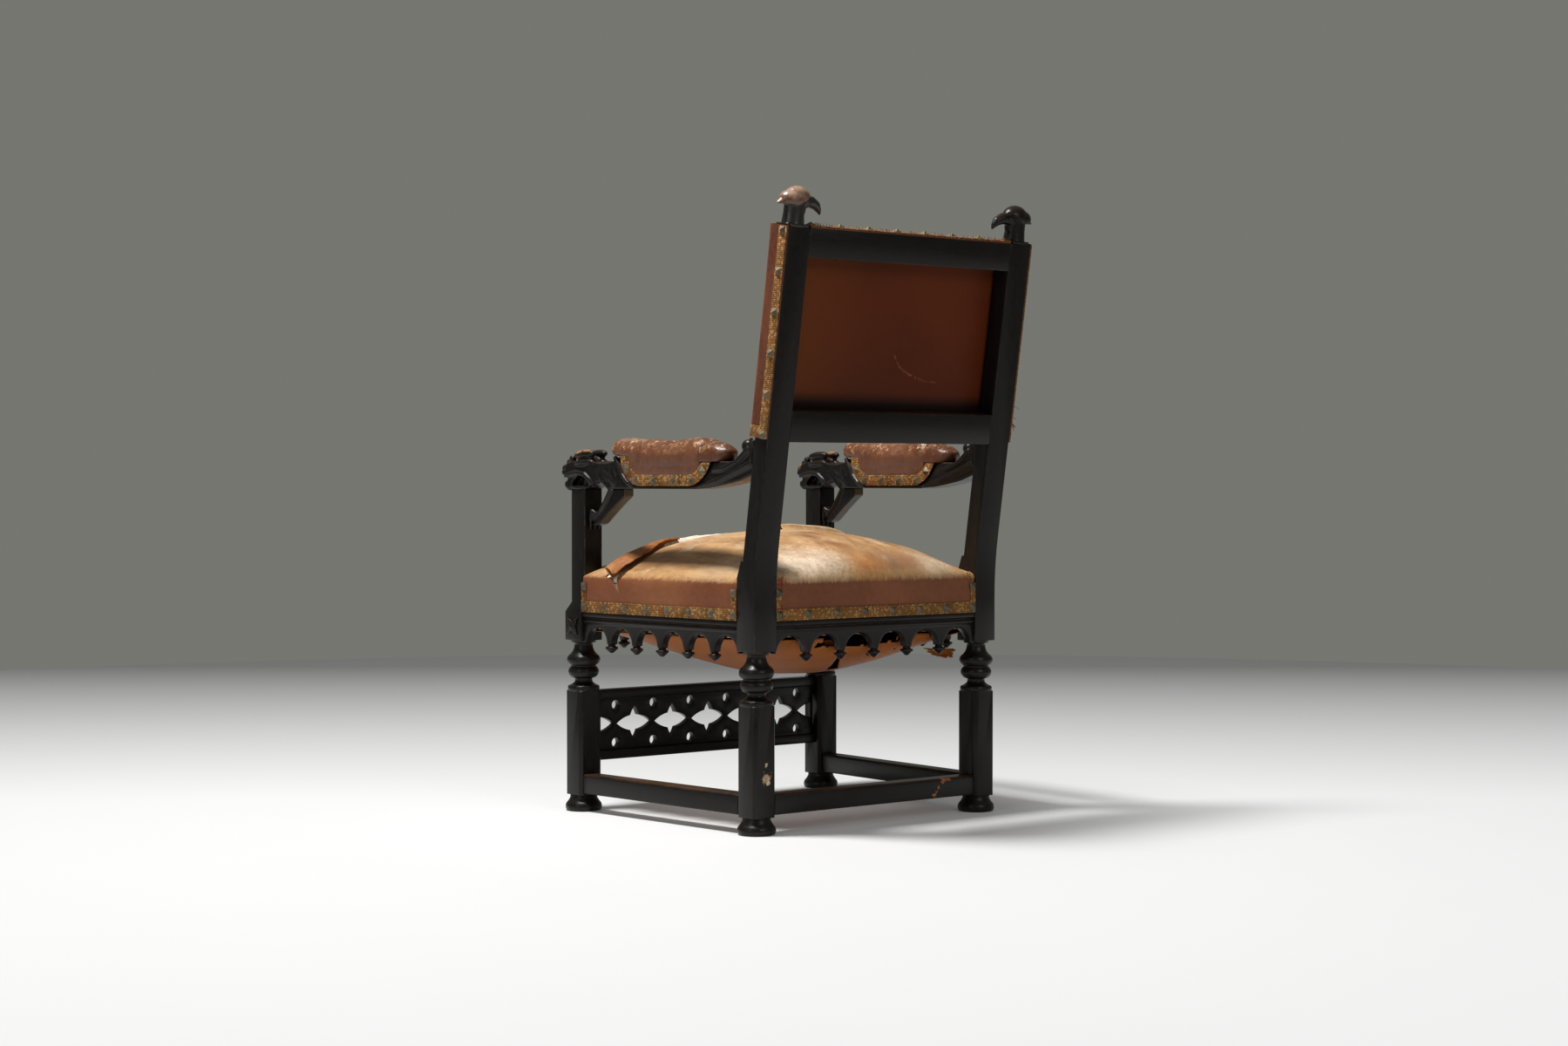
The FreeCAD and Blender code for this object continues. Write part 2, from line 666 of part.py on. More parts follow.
def finial():
    head_z = FINIAL_HEIGHT - FINIAL_HEAD_RADIUS
    neck = turned((0, 0), (FINIAL_NECK_RADIUS, 0),
                  ((0.8 * FINIAL_WAIST_RADIUS + 0.2 * FINIAL_NECK_RADIUS, FINIAL_WAIST_HEIGHT / 2),
                   (FINIAL_WAIST_RADIUS, FINIAL_WAIST_HEIGHT)),
                  (FINIAL_WAIST_RADIUS, head_z), (0, head_z))
    radius = FINIAL_HEAD_RADIUS
    brow = -0.55 * FINIAL_BEAK
    egg = Part.Face(outline(lambda x, r: V(x, 0, head_z + r),
                            (brow, 0), (brow, 0.6 * radius),
                            ((-0.1 * radius, radius), (0.6 * FINIAL_NAPE, 0.7 * radius)),
                            (FINIAL_NAPE, 0)))
    skull = egg.revolve(V(0, 0, head_z), V(1, 0, 0), 360)
    hooks = [(0.92 * brow, 0.0, 0.62, 0), (-0.75 * FINIAL_BEAK, 0.15, 0.42, 25),
             (-0.93 * FINIAL_BEAK, 0.55, 0.24, 60), (-FINIAL_BEAK, 1.0, 0.06, 85)]
    beak = Part.makeLoft([disc(x, head_z - drop * BEAK_DROP, share * radius, tilt)
                          for x, drop, share, tilt in hooks], True)
    dowel = Part.makeCylinder(DOWEL_RADIUS, DOWEL_LENGTH, V(0, 0, -DOWEL_LENGTH))
    return joined(neck, skull, beak, dowel)


finial_at = V(rear_x, (stile_front + stile_rear) / 2, stile_top)
dowel_hole = Part.makeCylinder(dowel_hole_radius, DOWEL_LENGTH + JOINT_CLEARANCE,
                               finial_at - V(0, 0, DOWEL_LENGTH + JOINT_CLEARANCE))
mortises.append(raked(dowel_hole))
both("finial", raked(finial().translated(finial_at)))


# Arms: drawn in their own upright plane, from the arm post (u = 0) back to the stile.
arm_end = lean(stile_front, arm_z + ARM_NECK / 2)[0] - post_y
arm_turn = math.degrees(math.atan2(post_x - rear_x, arm_end))
neck_radius = ARM_NECK - SCOOP_FLOOR
rear_centre = SCOOP_FLOOR + SCOOP_REAR_RADIUS
half_arm = ARM_WIDTH / 2


def arm_placed(shape):
    """Turns a piece drawn along the arm to run from the post to the stile."""
    turn = FreeCAD.Placement(V(post_x, post_y, arm_z), FreeCAD.Rotation(UP, arm_turn))
    copy = shape.copy()
    copy.Placement = turn.multiply(copy.Placement)
    return copy


def scoop(lap):
    """Curve of the scoop under the pad, from front to rear, this far above the braid's edge."""
    front_r = neck_radius - lap
    rear_r = SCOOP_REAR_RADIUS - lap
    rear_u = arm_end - SCOOP_REAR
    swing = math.acos((rear_centre - ARM_SHELF) / rear_r)
    diagonal = math.sqrt(0.5)
    return [(SCOOP_FRONT - front_r, ARM_NECK),
            ((SCOOP_FRONT - diagonal * front_r, ARM_NECK - diagonal * front_r),
             (SCOOP_FRONT, ARM_NECK - front_r)),
            (rear_u, rear_centre - rear_r),
            ((rear_u + rear_r * math.sin(swing / 2), rear_centre - rear_r * math.cos(swing / 2)),
             (rear_u + rear_r * math.sin(swing), ARM_SHELF))]


def scoop_block(width, lap):
    """The space above that curve."""
    curve = scoop(lap)
    return slab(width, *curve, (curve[-1][1][0], PAD_HEIGHT), (curve[0][0], PAD_HEIGHT))


def arm_body():
    """Beast's head over the post, neck, tray for the pad, and a scrolled rear end."""
    far = arm_end + half_leg
    tray = scoop(TRAY_LAP)
    jaw = -NOSE_REACH / 2
    throat = ARM_POST_DEPTH / 2
    snout = 0.65 * HEAD_HEIGHT
    body = slab(
        ARM_WIDTH, (far, ARM_END_FOOT), (arm_end, ARM_END_FOOT),
        ((arm_end - ARM_SWEEP / 2, 0.3 * ARM_END_FOOT), (arm_end - ARM_SWEEP, 0)), (BRACKET_ROOT, 0),
        ((BRACKET_ROOT / 2 + throat / 2, THROAT_RISE), (throat, 0)), (jaw, 0),
        ((-0.85 * NOSE_REACH, 0.13 * HEAD_HEIGHT), (-0.9 * NOSE_REACH, 0.3 * HEAD_HEIGHT)),
        ((-NOSE_REACH, 0.5 * HEAD_HEIGHT), (-0.8 * NOSE_REACH, snout)),
        (-0.35 * NOSE_REACH, 0.74 * HEAD_HEIGHT),
        ((NOSE_REACH / 3, HEAD_HEIGHT), (1.3 * NOSE_REACH, ARM_NECK)),
        *tray,
        (arm_end - 2.4 * SCROLL_INSET, ARM_SHELF),
        ((arm_end - 1.1 * SCROLL_INSET, 0.72 * ARM_END_HEIGHT),
         (arm_end - 0.2 * SCROLL_INSET, ARM_END_HEIGHT)),
        (far, ARM_END_HEIGHT))
    scroll = Part.makeCylinder(SCROLL_RADIUS, ARM_WIDTH + 2 * SCROLL_PROUD,
                               V(-half_arm - SCROLL_PROUD, arm_end - SCROLL_INSET,
                                 ARM_END_HEIGHT - SCROLL_RADIUS), V(1, 0, 0))
    features = [scroll]
    for sign in (-1, 1):
        cheek = sign * (half_arm - 0.4 * EYE_RADIUS)
        features.append(ball(EYE_RADIUS, cheek, NOSE_REACH / 3, HEAD_HEIGHT - EYE_RADIUS))
    body = joined(body, *features)
    lip = 0.3 * MOUTH_HEIGHT
    gape = [(jaw, lip), ((0, MOUTH_HEIGHT), (throat + lip, lip))]
    mouth = slab(2 * ARM_WIDTH, *gape).cut(slab(ARM_WIDTH - 2 * MOUTH_DEPTH, *gape))
    rebate = scoop_block(2 * ARM_WIDTH, 0).cut(scoop_block(ARM_WIDTH - 2 * LEATHER, 0))
    return body.cut([rebate, mouth])


def pad_section(x, lap, lower, inset=0.0):
    """Side outline of the pad at one place across it: scooped below, crowned above."""
    curve = scoop(lap)
    top = PAD_HEIGHT - lower - inset
    nose = PAD_FRONT + lower + inset
    tail = arm_end - PAD_REAR - lower - inset
    lip = ARM_NECK + SOFT_CLEARANCE + inset
    shelf = ARM_SHELF + SOFT_CLEARANCE + inset
    return outline(lambda u, w: V(x, u, w), (curve[0][0], lip), *curve, (curve[-1][1][0], shelf),
                   (tail - TRAY_LAP, shelf),
                   ((tail, (top + shelf) / 2), (tail - TRAY_LAP, 0.85 * top + 0.15 * shelf)),
                   (arm_end - SCOOP_REAR, top), (nose + TRAY_LAP, top),
                   ((nose, (top + lip) / 2), (nose + TRAY_LAP, lip)))


def pad_form(half, inset, lap):
    """Crowned pad between two upright sides."""
    stations = [(-half, PAD_ROUND), (-half / 2, PAD_ROUND / 4), (0, 0), (half / 2, PAD_ROUND / 4),
                (half, PAD_ROUND)]
    return Part.makeLoft([pad_section(x, lap, lower, inset) for x, lower in stations], True, False)


def pad_bulges():
    """The swelling of the pad's sides above the braid, drawn in again towards the top."""
    for sign in (-1, 1):
        root = pad_section(sign * half_arm, BRAID_WIDTH, PAD_ROUND)
        face = pad_section(sign * (half_arm + PAD_BULGE), BRAID_WIDTH + PAD_BULGE, 2 * PAD_ROUND)
        yield Part.makeLoft([root, face], True, True)


# Bracket: the beast's foreleg, from the arm's underside down to a paw on the arm post.
def bracket():
    post = ARM_POST_DEPTH / 2
    paw = post + PAW_DEPTH
    low = -BRACKET_DROP
    body = slab(BRACKET_WIDTH, (BRACKET_ROOT, 0), (BRACKET_REACH, 0),
                (BRACKET_REACH, 0.2 * low), (BRACKET_REACH - PAW_DEPTH, 0.33 * low),
                ((0.6 * BRACKET_REACH + 0.4 * post, 0.6 * low), (2 * paw - post, 0.9 * low)),
                (paw, low), (0, low), (0, -PAW_HEIGHT), (paw, -PAW_HEIGHT),
                ((0.6 * BRACKET_ROOT + 0.4 * paw, 0.3 * low), (BRACKET_ROOT, 0)))
    toes = [ball(TOE_RADIUS, k * BRACKET_WIDTH / 3, post + TOE_RADIUS, -PAW_HEIGHT)
            for k in (-1, 0, 1)]
    return joined(body, *toes)


rear_leg_left = rear_leg()
front_leg_left = front_leg()
arm_tenon_z = (ARM_END_FOOT + ARM_END_HEIGHT) / 2


def arm_tenon(grow=0.0):
    half = ARM_TENON_WIDTH / 2 + grow
    tall = ARM_TENON_HEIGHT / 2 + grow
    return arm_placed(box((-half, arm_end - half_leg, arm_tenon_z - tall),
                          (half, arm_end + ARM_TENON_LENGTH + grow, arm_tenon_z + tall)))


peg_hole = Part.makeCylinder(POST_TENON_RADIUS + JOINT_CLEARANCE,
                             POST_TENON_LENGTH + JOINT_CLEARANCE, V(post_x, post_y, arm_z))
arm_left = largest(arm_placed(arm_body()).cut([rear_leg_left, peg_hole]))
rear_leg_left = rear_leg_left.cut(arm_tenon(JOINT_CLEARANCE))
both("arm", joined(arm_left, arm_tenon()))
both("arm_bracket", largest(arm_placed(bracket()).cut(front_leg_left)))

both("front_leg", front_leg_left.cut(mortises))
both("rear_leg", rear_leg_left.cut(mortises))
both("foot_front", foot().translated(V(front_x, -leg_y, 0)))
both("foot_rear", foot().translated(V(rear_x, leg_y, 0)))


# Rosettes carved proud of the front leg blocks, on the outer and the front face.
def rosette():
    """Four crossed petals and a boss, drawn on the XZ plane and proud of it along -Y."""
    span = math.hypot(ROSETTE_SIZE, ROSETTE_SIZE) / 2 - PETAL_WIDTH / 2
    petal = Part.Face(outline(lambda a, b: V(a, 0, b), (-span, 0), ((0, PETAL_WIDTH / 2), (span, 0)),
                              ((0, -PETAL_WIDTH / 2), (-span, 0)))).extrude(V(0, -ROSETTE_RELIEF, 0))
    axis = V(0, 1, 0)
    crossed = [petal.rotated(V(0, 0, 0), axis, angle) for angle in (45, 135)]
    boss = Part.makeCylinder(BOSS_RADIUS, 1.5 * ROSETTE_RELIEF, V(0, 0, 0), V(0, -1, 0))
    return joined(boss, *crossed)


rosette_z = (carved_foot + apron_top) / 2
rosettes = [rosette().translated(V(front_x, -leg_y - half_leg, rosette_z)),
            rosette().rotated(V(0, 0, 0), UP, 90).translated(V(front_x + half_leg, -leg_y, rosette_z))]
parts["leg_rosettes"] = group(rosettes + [mirrored(shape) for shape in rosettes])


# Arm pads: stuffing in the tray, leather over it, braid and nails along the scoop.
arm_stuffing = pad_form(half_arm - LEATHER, LEATHER, TRAY_LAP)
arm_leather = pad_form(half_arm, 0, 0).cut([arm_stuffing, arm_body()])
arm_leather = joined(largest(arm_leather), *pad_bulges())
both("arm_leather", arm_placed(arm_leather))
both("arm_stuffing", arm_placed(arm_stuffing))


def arm_braid():
    """A band on each face of the arm, ending where the scoop meets the neck and the shelf."""
    band = slab(ARM_WIDTH + 2 * BRAID_THICKNESS, *scoop(0),
                (arm_end - SCOOP_REAR, ARM_SHELF), (SCOOP_FRONT, ARM_NECK))
    middle = box((-half_arm, 0, 0), (half_arm, arm_end, PAD_HEIGHT))
    return band.cut([middle, scoop_block(2 * ARM_WIDTH, BRAID_WIDTH)]).Solids


def arm_nails():
    """A row along the foot of the scoop, and one nail on each of its curves."""
    half = NAIL_SIZE / 2
    rear_u = arm_end - SCOOP_REAR
    middle = BRAID_WIDTH / 2
    row = [(u, SCOOP_FLOOR + middle, 0)
           for u in end_to_end(SCOOP_FRONT - NAIL_SIZE, rear_u + NAIL_SIZE, ARM_NAIL_PITCH)]
    for u, w, radius, swing in ((SCOOP_FRONT, ARM_NECK, neck_radius, -FRONT_NAIL_SWING),
                                (rear_u, rear_centre, SCOOP_REAR_RADIUS, REAR_NAIL_SWING)):
        angle = math.radians(swing)
        reach = radius - middle
        row.append((u + reach * math.sin(angle), w - reach * math.cos(angle), angle))
    for u, w, angle in row:
        along_braid = V(0, half * math.cos(angle), half * math.sin(angle))
        across_braid = V(0, -half * math.sin(angle), half * math.cos(angle))
        for sign in (-1, 1):
            at = V(sign * (half_arm + BRAID_THICKNESS), u, w)
            yield stud(at, along_braid, across_braid, V(sign * NAIL_HEIGHT, 0, 0))


both("arm_braid", arm_placed(group(arm_braid())))
both("arm_nails", arm_placed(group(arm_nails())))


# Seat: webbing under the rails, springs, hessian, stuffing, leather and a sagging bottom cover.
def seat_half_width(y, inset):
    """Half width of the seat at one depth, this far inside the line of the legs' outer faces."""
    outer = (front_x + rear_x) / 2 - y * (front_x - rear_x) / LEG_DEPTH + half_leg
    return outer - inset / math.cos(math.radians(splay))


seat_shares = (-1, -0.8, -0.45, 0, 0.45, 0.8, 1)
hessian_top = rail_top + CLOTH


def swell(share):
    """Fullness of a soft form from its middle (0) to its edges (1)."""
    return max(math.cos(math.pi / 2 * share), 0.0) ** FULLNESS


def posts_cleared(form):
    """Leaves room for the four legs."""
    grown = half_leg + SOFT_CLEARANCE
    far = FRONT_SPREAD + LEG_DEPTH
    blocks = [box((front_x - grown, -far, 0), (far, grown - leg_y, far)),
              box((rear_x - grown, leg_y - grown, 0), (far, far, far))]
    return form.cut(blocks + [mirrored(block) for block in blocks])


def seat_form(inset, drop):
    """Block of the seat with an upright border, a drawn-in edge and a domed top."""
    wires = []
    for share in seat_shares:
        y = share * (leg_y + half_leg - inset)
        half = seat_half_width(y, inset)
        edge = half - BORDER_DRAW
        top = border_top - drop
        crown = top + EDGE_CROWN + SEAT_DOME * swell(share)
        wires.append(outline(lambda x, z: V(x, y, z), (-half, apron_top), (half, apron_top),
                             (half, hessian_top), (edge, top), ((0, crown), (-edge, top)),
                             (-half, hessian_top)))
    return Part.makeLoft(wires, True, False)


inner_seat = seat_form(rail_inset, LEATHER)
above_hessian = box((-FRONT_SPREAD, -LEG_DEPTH, hessian_top), (FRONT_SPREAD, LEG_DEPTH, stile_top))
parts["seat_leather"] = posts_cleared(seat_form(LEATHER_INSET, 0).cut(inner_seat))
parts["seat_stuffing"] = posts_cleared(inner_seat.common(above_hessian))
hessian_layer = box((-FRONT_SPREAD, -LEG_DEPTH, rail_top), (FRONT_SPREAD, LEG_DEPTH, hessian_top))
parts["seat_hessian"] = posts_cleared(inner_seat.common(hessian_layer))

strap_top = rail_foot
strap_foot = strap_top - CLOTH
strap_end_y = leg_y + half_leg - rail_back + STRAP_LAP
straps = []
for k in (-1, 0, 1):
    x = k * STRAP_PITCH_X
    y = k * STRAP_PITCH_Y
    reach = seat_half_width(y, rail_back) + STRAP_LAP
    straps.append(box((x - STRAP_WIDTH / 2, -strap_end_y, strap_foot),
                      (x + STRAP_WIDTH / 2, strap_end_y, strap_top)))
    straps.append(box((-reach, y - STRAP_WIDTH / 2, strap_foot - CLOTH),
                      (reach, y + STRAP_WIDTH / 2, strap_foot)))
parts["seat_webbing"] = group(straps)


def spring_point(x, y, turn):
    angle = 2 * math.pi * turn
    climb = (rail_top - strap_top - 2 * WIRE_RADIUS) * turn / SPRING_TURNS
    return V(x + SPRING_RADIUS * math.cos(angle), y + SPRING_RADIUS * math.sin(angle),
             strap_top + WIRE_RADIUS + climb)


def spring(x, y):
    """Open coil of round wire along quarter-turn arcs."""
    quarters = range(4 * SPRING_TURNS)
    path = Part.Wire([Part.Arc(spring_point(x, y, q / 4), spring_point(x, y, (q + 0.5) / 4),
                               spring_point(x, y, (q + 1) / 4)).toShape() for q in quarters])
    start = path.Edges[0]
    ring = Part.Wire(Part.makeCircle(WIRE_RADIUS, start.valueAt(start.FirstParameter),
                                     start.tangentAt(start.FirstParameter)))
    return path.makePipeShell([ring], True, False)


turn_gap = (rail_top - strap_top - 2 * WIRE_RADIUS) / SPRING_TURNS - 2 * WIRE_RADIUS
print("least gap between spring turns", round(turn_gap, 2))
parts["seat_springs"] = group(spring(i * STRAP_PITCH_X, j * STRAP_PITCH_Y)
                              for i in (-1, 0, 1) for j in (-1, 0, 1))


# Corner blocks, glued in the four inner corners of the seat rails.
def corner_block(y_sign):
    inner_y = y_sign * (leg_y + half_leg - rail_back)
    corner = V(seat_half_width(inner_y, rail_back), inner_y, 0)
    down = V(0, -y_sign * CORNER_BLOCK_SIZE, 0)
    slant = V(math.tan(math.radians(splay)) * CORNER_BLOCK_SIZE * y_sign, 0, 0)
    foot_z = rail_top - CORNER_BLOCK_GAP - CORNER_BLOCK_HEIGHT
    points = [corner, corner - V(CORNER_BLOCK_SIZE, 0, 0), corner + down + slant, corner]
    face = Part.Face(Part.makePolygon([point + V(0, 0, foot_z) for point in points]))
    return face.extrude(V(0, 0, CORNER_BLOCK_HEIGHT))


corner_blocks = [corner_block(sign).cut([parts["seat_rail_left"], parts["front_leg_left"],
                                         parts["rear_leg_left"]]) for sign in (-1, 1)]
parts["corner_blocks"] = group(corner_blocks + [mirrored(shape) for shape in corner_blocks])


def cover_form(lift):
    """Sagging block with flat flanges, whose lower face is the face of the bottom cover."""
    inset = apron_back + SOFT_CLEARANCE
    rim = strap_foot - CLOTH - COVER_THICKNESS + lift
    wires = []
    for share in seat_shares:
        y = share * (leg_y + half_leg - inset)
        half = seat_half_width(y, inset)
        edge = half - COVER_FLANGE
        low = rim - EDGE_CROWN - COVER_SAG * swell(share)
        wires.append(outline(lambda x, z: V(x, y, z), (-half, rim + COVER_SAG), (-half, rim),
                             (-edge, rim), ((0, low), (edge, rim)), (half, rim),
                             (half, rim + COVER_SAG)))
    return Part.makeLoft(wires, True, False)


cover_layer = cover_form(0).cut(cover_form(COVER_THICKNESS))
below_straps = box((-FRONT_SPREAD, -LEG_DEPTH, 0), (FRONT_SPREAD, LEG_DEPTH, strap_foot - CLOTH))
parts["seat_bottom_cover"] = posts_cleared(cover_layer.common(below_straps))

braid_out = BRAID_THICKNESS - LEATHER_INSET
nail_half = NAIL_SIZE / 2


def seat_braid(which):
    """Braid along the foot of the border, with an upright piece beside each post."""
    foot_band = flat_bar(which, -SOFT_CLEARANCE, -LEATHER_INSET, braid_out,
                         apron_top, apron_top + BRAID_WIDTH)
    ends = flat_bar(which, -SOFT_CLEARANCE, -LEATHER_INSET, braid_out,
                    apron_top + BRAID_WIDTH, rail_top).cut(between(which, -END_BRAID))
    return joined(foot_band, *ends.Solids)


def seat_nails(which):
    end = which["clear"] - nail_half - SOFT_CLEARANCE
    foot_row = apron_top + BRAID_WIDTH / 2
    places = [(s, foot_row) for s in end_to_end(-end, end, SEAT_NAIL_PITCH)]
    places += [(s, rail_top - nail_half) for s in (-end, end)]
    for s, z in places:
        nail = stud(V(s, braid_out, z), V(nail_half, 0, 0), V(0, 0, nail_half), V(0, NAIL_HEIGHT, 0))
        nail.Placement = which["place"]
        yield nail


braids = {name: seat_braid(which) for name, which in sides.items()}
nails = {name: list(seat_nails(which)) for name, which in sides.items()}
parts["seat_braid"] = group(list(braids.values()) + [mirrored(braids["left"])])
parts["seat_nails"] = group(sum(nails.values(), []) + [mirrored(nail) for nail in nails["left"]])


# Back upholstery, drawn upright and leant with the stiles.
back_half = rear_x + half_leg
between_stiles = rear_x - half_leg - SOFT_CLEARANCE
level_front = stile_front - CLOTH
back_hessian_front = level_front - CLOTH
back_edge_y = back_hessian_front - BACK_EDGE


def back_form(inset):
    """Stuffed front of the back, with square edges and a crowned face."""
    low, high = back_bottom + inset, stile_top + LEATHER - inset
    half = back_half + LEATHER - inset
    wires = []
    for share in seat_shares:
        z = (low + high) / 2 + share * (high - low) / 2
        edge = back_edge_y - LEATHER + inset
        front_y = edge - EDGE_CROWN - BACK_CROWN * swell(share)
        wires.append(outline(lambda x, y: V(x, y, z), (-half, stile_front), (half, stile_front),
                             (half, edge), ((0, front_y), (-half, edge))))
    return Part.makeLoft(wires, True, False)


def back_layer(y0, y1, half):
    return box((-half, y0, back_bottom + LEATHER), (half, y1, stile_top))


inner_back = back_form(LEATHER)
before_hessian = back_layer(back_edge_y - 2 * BACK_CROWN, back_hessian_front, 2 * back_half)
parts["back_stuffing"] = raked(inner_back.common(before_hessian))
parts["back_hessian"] = raked(back_layer(back_hessian_front, level_front, back_half))
parts["back_outer_leather"] = raked(back_layer(panel_front, panel_rear, between_stiles))

back_straps = []
for k in range(BACK_STRAPS):
    x = (k - (BACK_STRAPS - 1) / 2) * STRAP_PITCH_X
    z = back_bottom + LEATHER + (stile_top - back_bottom - LEATHER) * (k + 0.5) / BACK_STRAPS
    back_straps.append(box((x - STRAP_WIDTH / 2, stile_front, back_bottom + LEATHER),
                           (x + STRAP_WIDTH / 2, panel_front, stile_top)))
    back_straps.append(box((-back_half, level_front, z - STRAP_WIDTH / 2),
                           (back_half, stile_front, z + STRAP_WIDTH / 2)))
parts["back_webbing"] = raked(group(back_straps))


def back_leather():
    """Front leather, with flaps nailed round the stiles and over the top rail."""
    shell = back_form(0).cut(inner_back)
    cheeks = [box((x, stile_front, back_bottom), (x + LEATHER, stile_rear, stile_top))
              for x in (back_half, -back_half - LEATHER)]
    lid = box((-between_stiles, stile_front, stile_top),
              (between_stiles, stile_rear, stile_top + LEATHER))
    return joined(shell, lid, *cheeks)


parts["back_leather"] = raked(back_leather())

braid_in = stile_rear - BRAID_WIDTH
cheek_x = back_half + LEATHER
lid_z = stile_top + LEATHER


def back_braid():
    """Braid down each cheek and along its foot, and along the top rail."""
    upright = box((cheek_x, braid_in, back_bottom), (cheek_x + BRAID_THICKNESS, stile_rear, stile_top))
    level = box((cheek_x, back_edge_y, back_bottom),
                (cheek_x + BRAID_THICKNESS, braid_in, back_bottom + BRAID_WIDTH))
    cheek = joined(upright, level)
    half = rear_x - half_leg - 2 * SOFT_CLEARANCE
    return [cheek, mirrored(cheek),
            box((-half, braid_in, lid_z), (half, stile_rear, lid_z + BRAID_THICKNESS))]


def back_nails():
    middle = stile_rear - BRAID_WIDTH / 2
    outer = cheek_x + BRAID_THICKNESS
    for z in end_to_end(back_bottom + nail_half, stile_top - nail_half, BACK_NAIL_PITCH):
        for sign in (-1, 1):
            yield stud(V(sign * outer, middle, z), V(0, nail_half, 0), V(0, 0, nail_half),
                       V(sign * NAIL_HEIGHT, 0, 0))
    half = between_stiles - nail_half
    for x in end_to_end(-half, half, SEAT_NAIL_PITCH):
        yield stud(V(x, middle, lid_z + BRAID_THICKNESS), V(nail_half, 0, 0), V(0, nail_half, 0),
                   V(0, 0, NAIL_HEIGHT))


parts["back_braid"] = raked(group(back_braid()))
parts["back_nails"] = raked(group(back_nails()))

# The origin is on the floor, under the middle of the chair's bounding box.
whole = FreeCAD.BoundBox()
for shape in parts.values():
    whole.add(shape.optimalBoundingBox(False))
os.makedirs("parts", exist_ok=True)
for name, shape in parts.items():
    shape.translated(V(0, -whole.Center.y, 0)).exportStep("parts/" + name + ".step")
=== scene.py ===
import bpy
import math
import random
from mathutils import Matrix, Vector, noise


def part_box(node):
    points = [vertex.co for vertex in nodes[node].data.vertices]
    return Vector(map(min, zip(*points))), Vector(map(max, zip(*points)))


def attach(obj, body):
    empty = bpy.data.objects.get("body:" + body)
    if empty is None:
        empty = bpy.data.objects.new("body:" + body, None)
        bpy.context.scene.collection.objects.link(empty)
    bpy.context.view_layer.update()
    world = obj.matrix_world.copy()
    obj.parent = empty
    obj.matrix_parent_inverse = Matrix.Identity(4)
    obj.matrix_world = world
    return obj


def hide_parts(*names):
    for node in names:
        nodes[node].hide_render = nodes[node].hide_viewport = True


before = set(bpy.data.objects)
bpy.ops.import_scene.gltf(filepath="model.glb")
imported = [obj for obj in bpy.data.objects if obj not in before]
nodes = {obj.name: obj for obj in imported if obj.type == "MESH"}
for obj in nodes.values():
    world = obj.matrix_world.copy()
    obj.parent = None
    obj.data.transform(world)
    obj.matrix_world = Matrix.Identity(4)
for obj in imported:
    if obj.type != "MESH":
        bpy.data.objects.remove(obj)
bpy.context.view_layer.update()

# Studio. A pale round floor with a painted glow, a soft lamp overhead to the chair's left, and weaker ones
# beside and behind it.
# The camera stands behind the left rear leg, about 5 m off and at the height of the arms.
MM = 0.001
FLOOR_RADIUS = 4.55
FLOOR_DROP = 0.4 * MM        # clear of the feet
CAMERA_AT = (3.2454, 3.8620, 0.6270)
CAMERA_TURN = 39.71          # degrees from straight ahead to the sitter's right
CAMERA_DIP = 0.949           # degrees below level
CAMERA_LENS = 61.61          # for a picture 36 mm wide
FLOOR_AWAY = (-0.639, -0.769, 0.0)   # level, from the camera to the far wall
FLOOR_GREY, FLOOR_WHITE = (0.88, 0.88, 0.87, 1), (0.93, 0.93, 0.92, 1)
GLOW_FADE = (0.2, 3.9, 0.96, 0.14)    # painted glow: from and to, in metres behind the chair, and how bright at each
GLOW_ROUND_CHAIR = (0.40, 0.95, 0.06, 0.66)   # share of painted glow: from and to, in metres round the chair, and how much it whitens the shadow at each
WALL_GREY = (0.178, 0.182, 0.162, 1)
ROOM_FILL = (0.085, 0.087, 0.085, 1)


def only(piece):
    """Selects one object and makes it the active one."""
    bpy.ops.object.select_all(action="DESELECT")
    piece.select_set(True)
    bpy.context.view_layer.objects.active = piece


def fill(node, inputs):
    """Links each input that is given as a socket, and sets each that is given as a value."""
    for key, value in inputs.items():
        if isinstance(value, bpy.types.NodeSocket):
            node.id_data.links.new(value, node.inputs[key])
        else:
            node.inputs[key].default_value = value


def add(source, kind, output, inputs=None, **settings):
    """Adds a shader node to a tree, or to the tree of a socket. Returns one of its outputs."""
    made = source.id_data.nodes.new("ShaderNode" + kind)
    for key, value in settings.items():
        setattr(made, key, value)
    fill(made, inputs or {})
    return made.outputs[output]


def opened(finish):
    """The place on an object, for a finish's patterns to follow, and the finish's shader."""
    tree = finish.node_tree
    return add(tree, "TexCoord", "Object"), tree.nodes["Principled BSDF"]


def new_finish(name):
    """A plain material, the place for its patterns to follow, and its shader."""
    finish = bpy.data.materials.new(name)
    finish.use_nodes = True
    return finish, *opened(finish)


def mixed(share, first, second):
    """Colour between two colours."""
    return add(share, "Mix", 2, {0: share, 6: first, 7: second}, data_type="RGBA")


def times(first, second):
    return add(first, "Math", 0, {0: first, 1: second}, operation="MULTIPLY")


def between(value, low, high, start=0.0, end=1.0):
    """Goes from start to end as the value goes from low to high."""
    return add(value, "MapRange", 0, {0: value, 1: low, 2: high, 3: start, 4: end})


def cloudy(place, scale, detail=5.0, roughness=0.55):
    look = {"Vector": place, "Scale": scale, "Detail": detail, "Roughness": roughness}
    return add(place, "TexNoise", 0, look)


def seen_ray(source):
    """1 for rays by which the floor and the room are seen, also in a reflection, and 0 for light."""
    ray = source.id_data.nodes.new("ShaderNodeLightPath")
    seen = ray.outputs["Is Camera Ray"]
    for kind in ("Is Glossy Ray", "Is Transmission Ray"):
        seen = add(seen, "Math", 0, {0: seen, 1: ray.outputs[kind]}, operation="MAXIMUM")
    return seen


